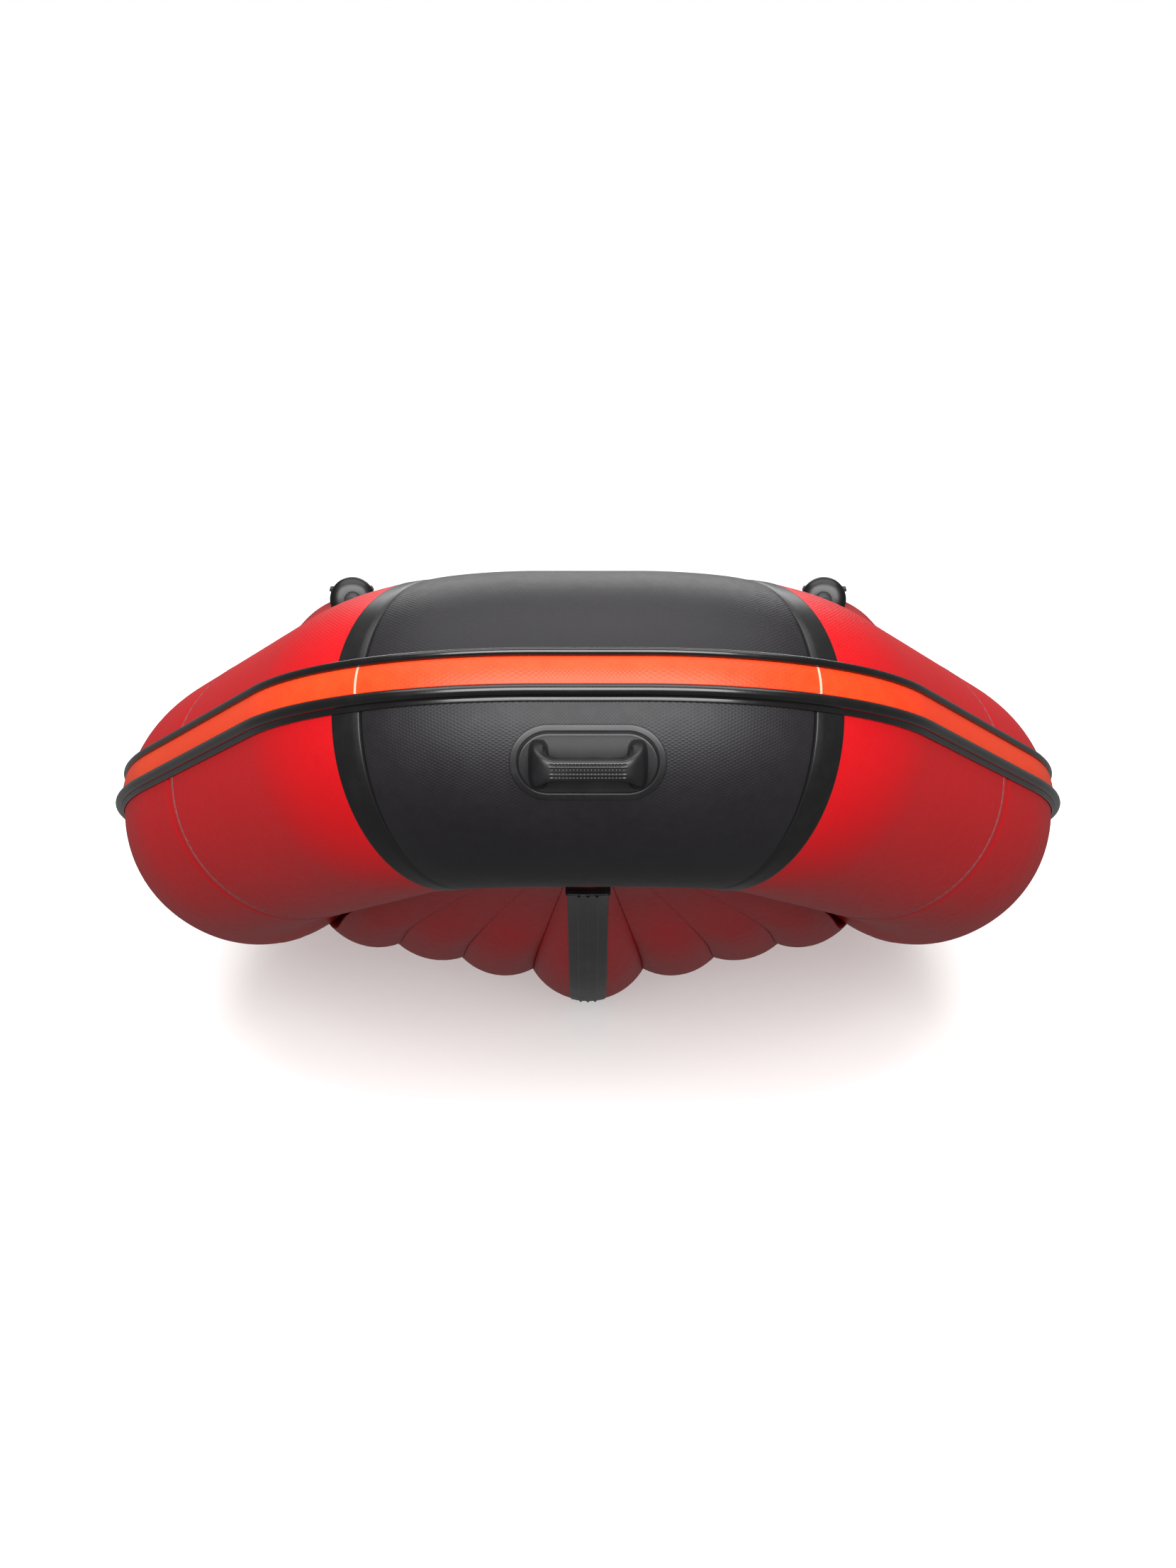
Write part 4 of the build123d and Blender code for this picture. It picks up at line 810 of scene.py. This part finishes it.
# Seats: two varnished plywood thwarts with rounded corners, screwed to nylon clamps that slide on
# the tracks and stay where the rower's weight presses them.
seat_plywood = plywood("varnished_plywood_seat", "C29660", "966A3C", "Z")
dress(["front_seat", "rear_seat"], seat_plywood, 0.004)
dress(["front_seat_clamps", "rear_seat_clamps"], black_nylon, 0.001)

# Rowlocks: rubber blocks glued on the tubes, each with a stainless pin that a black nylon yoke
# swivels on. The yoke's arms hold the oar's sleeve by its trunnions.
dress(["rowlock_bases"], black_rubber, 0.0015)
dress(["rowlock_pins"], stainless)
dress(["port_rowlock_yoke", "starboard_rowlock_yoke"], black_nylon, 0.0015)

# Oars: anodised aluminium shafts with soft rubber grips, black nylon sleeves, glossy drip collars
# and ribbed polypropylene blades. They are stowed in the rowlocks with the blades aft.
oar_alloy = polished_metal("dark_anodised_aluminium", "3A3B3E", 0.32)
grip_rubber = moulded("soft_grip_rubber", "1A1A1C", "29292C", 0.6, 0.002, 0.0003)
blade_plastic = moulded("moulded_black_polypropylene", "141416", "242428", 0.36, 0.002, 0.0001)
collar_plastic = moulded("glossy_black_collar_plastic", "050506", "0B0B0C", 0.34, 0.008, 0.00005, 0.12)
yoke_x, yoke_y, yoke_z = 0.520, 0.400, 0.640
collar_rake, collar_yaw = np.radians(6), np.radians(6.8)
collar_dome = np.linspace(0.04, 1, 24) * np.pi / 2
collar_profile = np.concatenate(
    [
        [(-0.0778, 0.0166), (-0.0780, 0.0185)],
        np.stack(
            [-0.0620 - 0.0158 * np.cos(collar_dome), 0.0190 + 0.0300 * np.sin(collar_dome)], 1
        ),
        [(-0.0605, 0.0488), (-0.0594, 0.0478), (-0.0590, 0.0460), (-0.0590, 0.0166), (-0.0778, 0.0166)],
    ]
)
for side, sign in (("port", 1), ("starboard", -1)):
    level = np.cos(collar_rake)
    aft = (sign * np.sin(collar_yaw) * level, np.cos(collar_yaw) * level, -np.sin(collar_rake))
    collar = turned(
        f"{side}_oar_drip_collar",
        (sign * yoke_x, yoke_y, yoke_z),
        aft,
        collar_profile,
        collar_plastic,
        f"{side}_oar",
        closed=False,
    )
    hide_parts(f"{side}_oar_collar")
    dress([f"{side}_oar_sleeve"], black_nylon, 0.0015)
    dress([f"{side}_oar_shaft"], oar_alloy)
    dress([f"{side}_oar_grip"], grip_rubber)
    dress([f"{side}_oar_blade"], blade_plastic, 0.0012)

# Air valves: black nylon bodies welded into the tubes and floor, with sprung plungers inside and
# push-on caps that turn to lock. The caps have a finger bar across the top.
dress(["valve_bodies"], black_nylon, 0.001)
for name in ("port", "starboard", "bow", "floor"):
    dress([f"{name}_valve_plunger"], black_nylon)
    dress([f"{name}_valve_cap"], black_nylon, 0.0008)

# Studio: three soft panels, in front, above and behind, light the boat. The pale matt floor is lit
# by two wide suns of its own and throws nothing back, and only one of them casts the soft shadow.
# The surround is white to the camera and dim as a light.
floor_paint, tree, shader = finish_of("pale_matt_studio_floor", Roughness=0.9)
place = add(tree, "TexCoord").outputs["Object"]
speck = add(tree, "TexNoise", inputs={"Vector": place, "Scale": 0.4, "Detail": 2.0})
blend = {0: speck.outputs["Fac"], 6: linear("F6F6F5"), 7: linear("F2F2F1")}
paint = add(tree, "Mix", {"data_type": "RGBA"}, blend)
tree.links.new(paint.outputs[2], shader.inputs["Base Color"])
span = np.linspace(-30, 30, 13)
ground = np.stack(np.broadcast_arrays(span[:, None], span[None], np.array(-0.0005)), -1)
studio_mesh = bpy.data.meshes.new("studio_floor")
number = np.arange(ground.shape[0] * ground.shape[1]).reshape(ground.shape[:2])
quads = np.stack([number[:-1, :-1], number[1:, :-1], number[1:, 1:], number[:-1, 1:]], -1).reshape(-1, 4)
studio_mesh.from_pydata(ground.reshape(-1, 3).tolist(), [], quads.tolist())
studio_mesh.materials.append(floor_paint)
studio_floor = bpy.data.objects.new("studio_floor", studio_mesh)
bpy.context.scene.collection.objects.link(studio_floor)
studio_floor.visible_diffuse = False
studio_floor.visible_glossy = False

surround = bpy.data.worlds.new("white_surround")
surround.use_nodes = True
sky = surround.node_tree.nodes["Background"]
sky.inputs["Color"].default_value = linear("FFFFFF")
seen = add(surround.node_tree, "LightPath").outputs["Is Camera Ray"]
brightness = add(surround.node_tree, "MapRange", inputs={"Value": seen, "To Min": 0.20, "To Max": 1.0})
surround.node_tree.links.new(brightness.outputs["Result"], sky.inputs["Strength"])
bpy.context.scene.world = surround


def soft_panel(name, place, size, power, target=(0.0, -0.6, 0.5)):
    """Light panel, twice as wide as it is tall, at a place and turned to face the target."""
    lamp = bpy.data.lights.new(name, "AREA")
    lamp.shape = "RECTANGLE"
    lamp.size = 2 * size
    lamp.size_y = size
    lamp.energy = power
    panel = bpy.data.objects.new(name, lamp)
    bpy.context.scene.collection.objects.link(panel)
    panel.location = place
    way = Vector(target) - Vector(place)
    panel.rotation_euler = way.to_track_quat("-Z", "Y").to_euler()


soft_panel("front_panel", (0.0, -5.6, 2.7), 3.2, 520)
soft_panel("top_panel", (0.0, -1.4, 4.4), 3.0, 140)
soft_panel("back_panel", (0.0, 3.6, 4.0), 2.6, 130)
floor_only = bpy.data.collections.new("lit_by_the_floor_lights")
floor_only.objects.link(studio_floor)
floor_lights = (("floor_light_with_shadow", 1.2, True), ("floor_light_without_shadow", 2.3, False))
for name, energy, shadow in floor_lights:
    lamp = bpy.data.lights.new(name, "SUN")
    lamp.energy = energy
    lamp.angle = np.radians(70)
    lamp.use_shadow = shadow
    above = bpy.data.objects.new(name, lamp)
    above.light_linking.receiver_collection = floor_only
    bpy.context.scene.collection.objects.link(above)

# Camera: it stands 4.03 m ahead of the middle of the boat and 1.25 m up, and looks down by its tilt.
# The lens is given by its focal length over the frame's width.
sensor_width, lens_over_width, tilt = 36.0, 2845 / 1659, 13.108
camera_lens = bpy.data.cameras.new("camera")
camera_lens.sensor_fit = "HORIZONTAL"
camera_lens.sensor_width = sensor_width
camera_lens.lens = sensor_width * lens_over_width
camera = bpy.data.objects.new("camera", camera_lens)
camera.location = (0.0, -4.0292, 1.2510)
camera.rotation_euler = (np.radians(90 - tilt), 0, 0)
bpy.context.scene.collection.objects.link(camera)
bpy.context.scene.camera = camera
bpy.context.scene.view_settings.view_transform = "Standard"
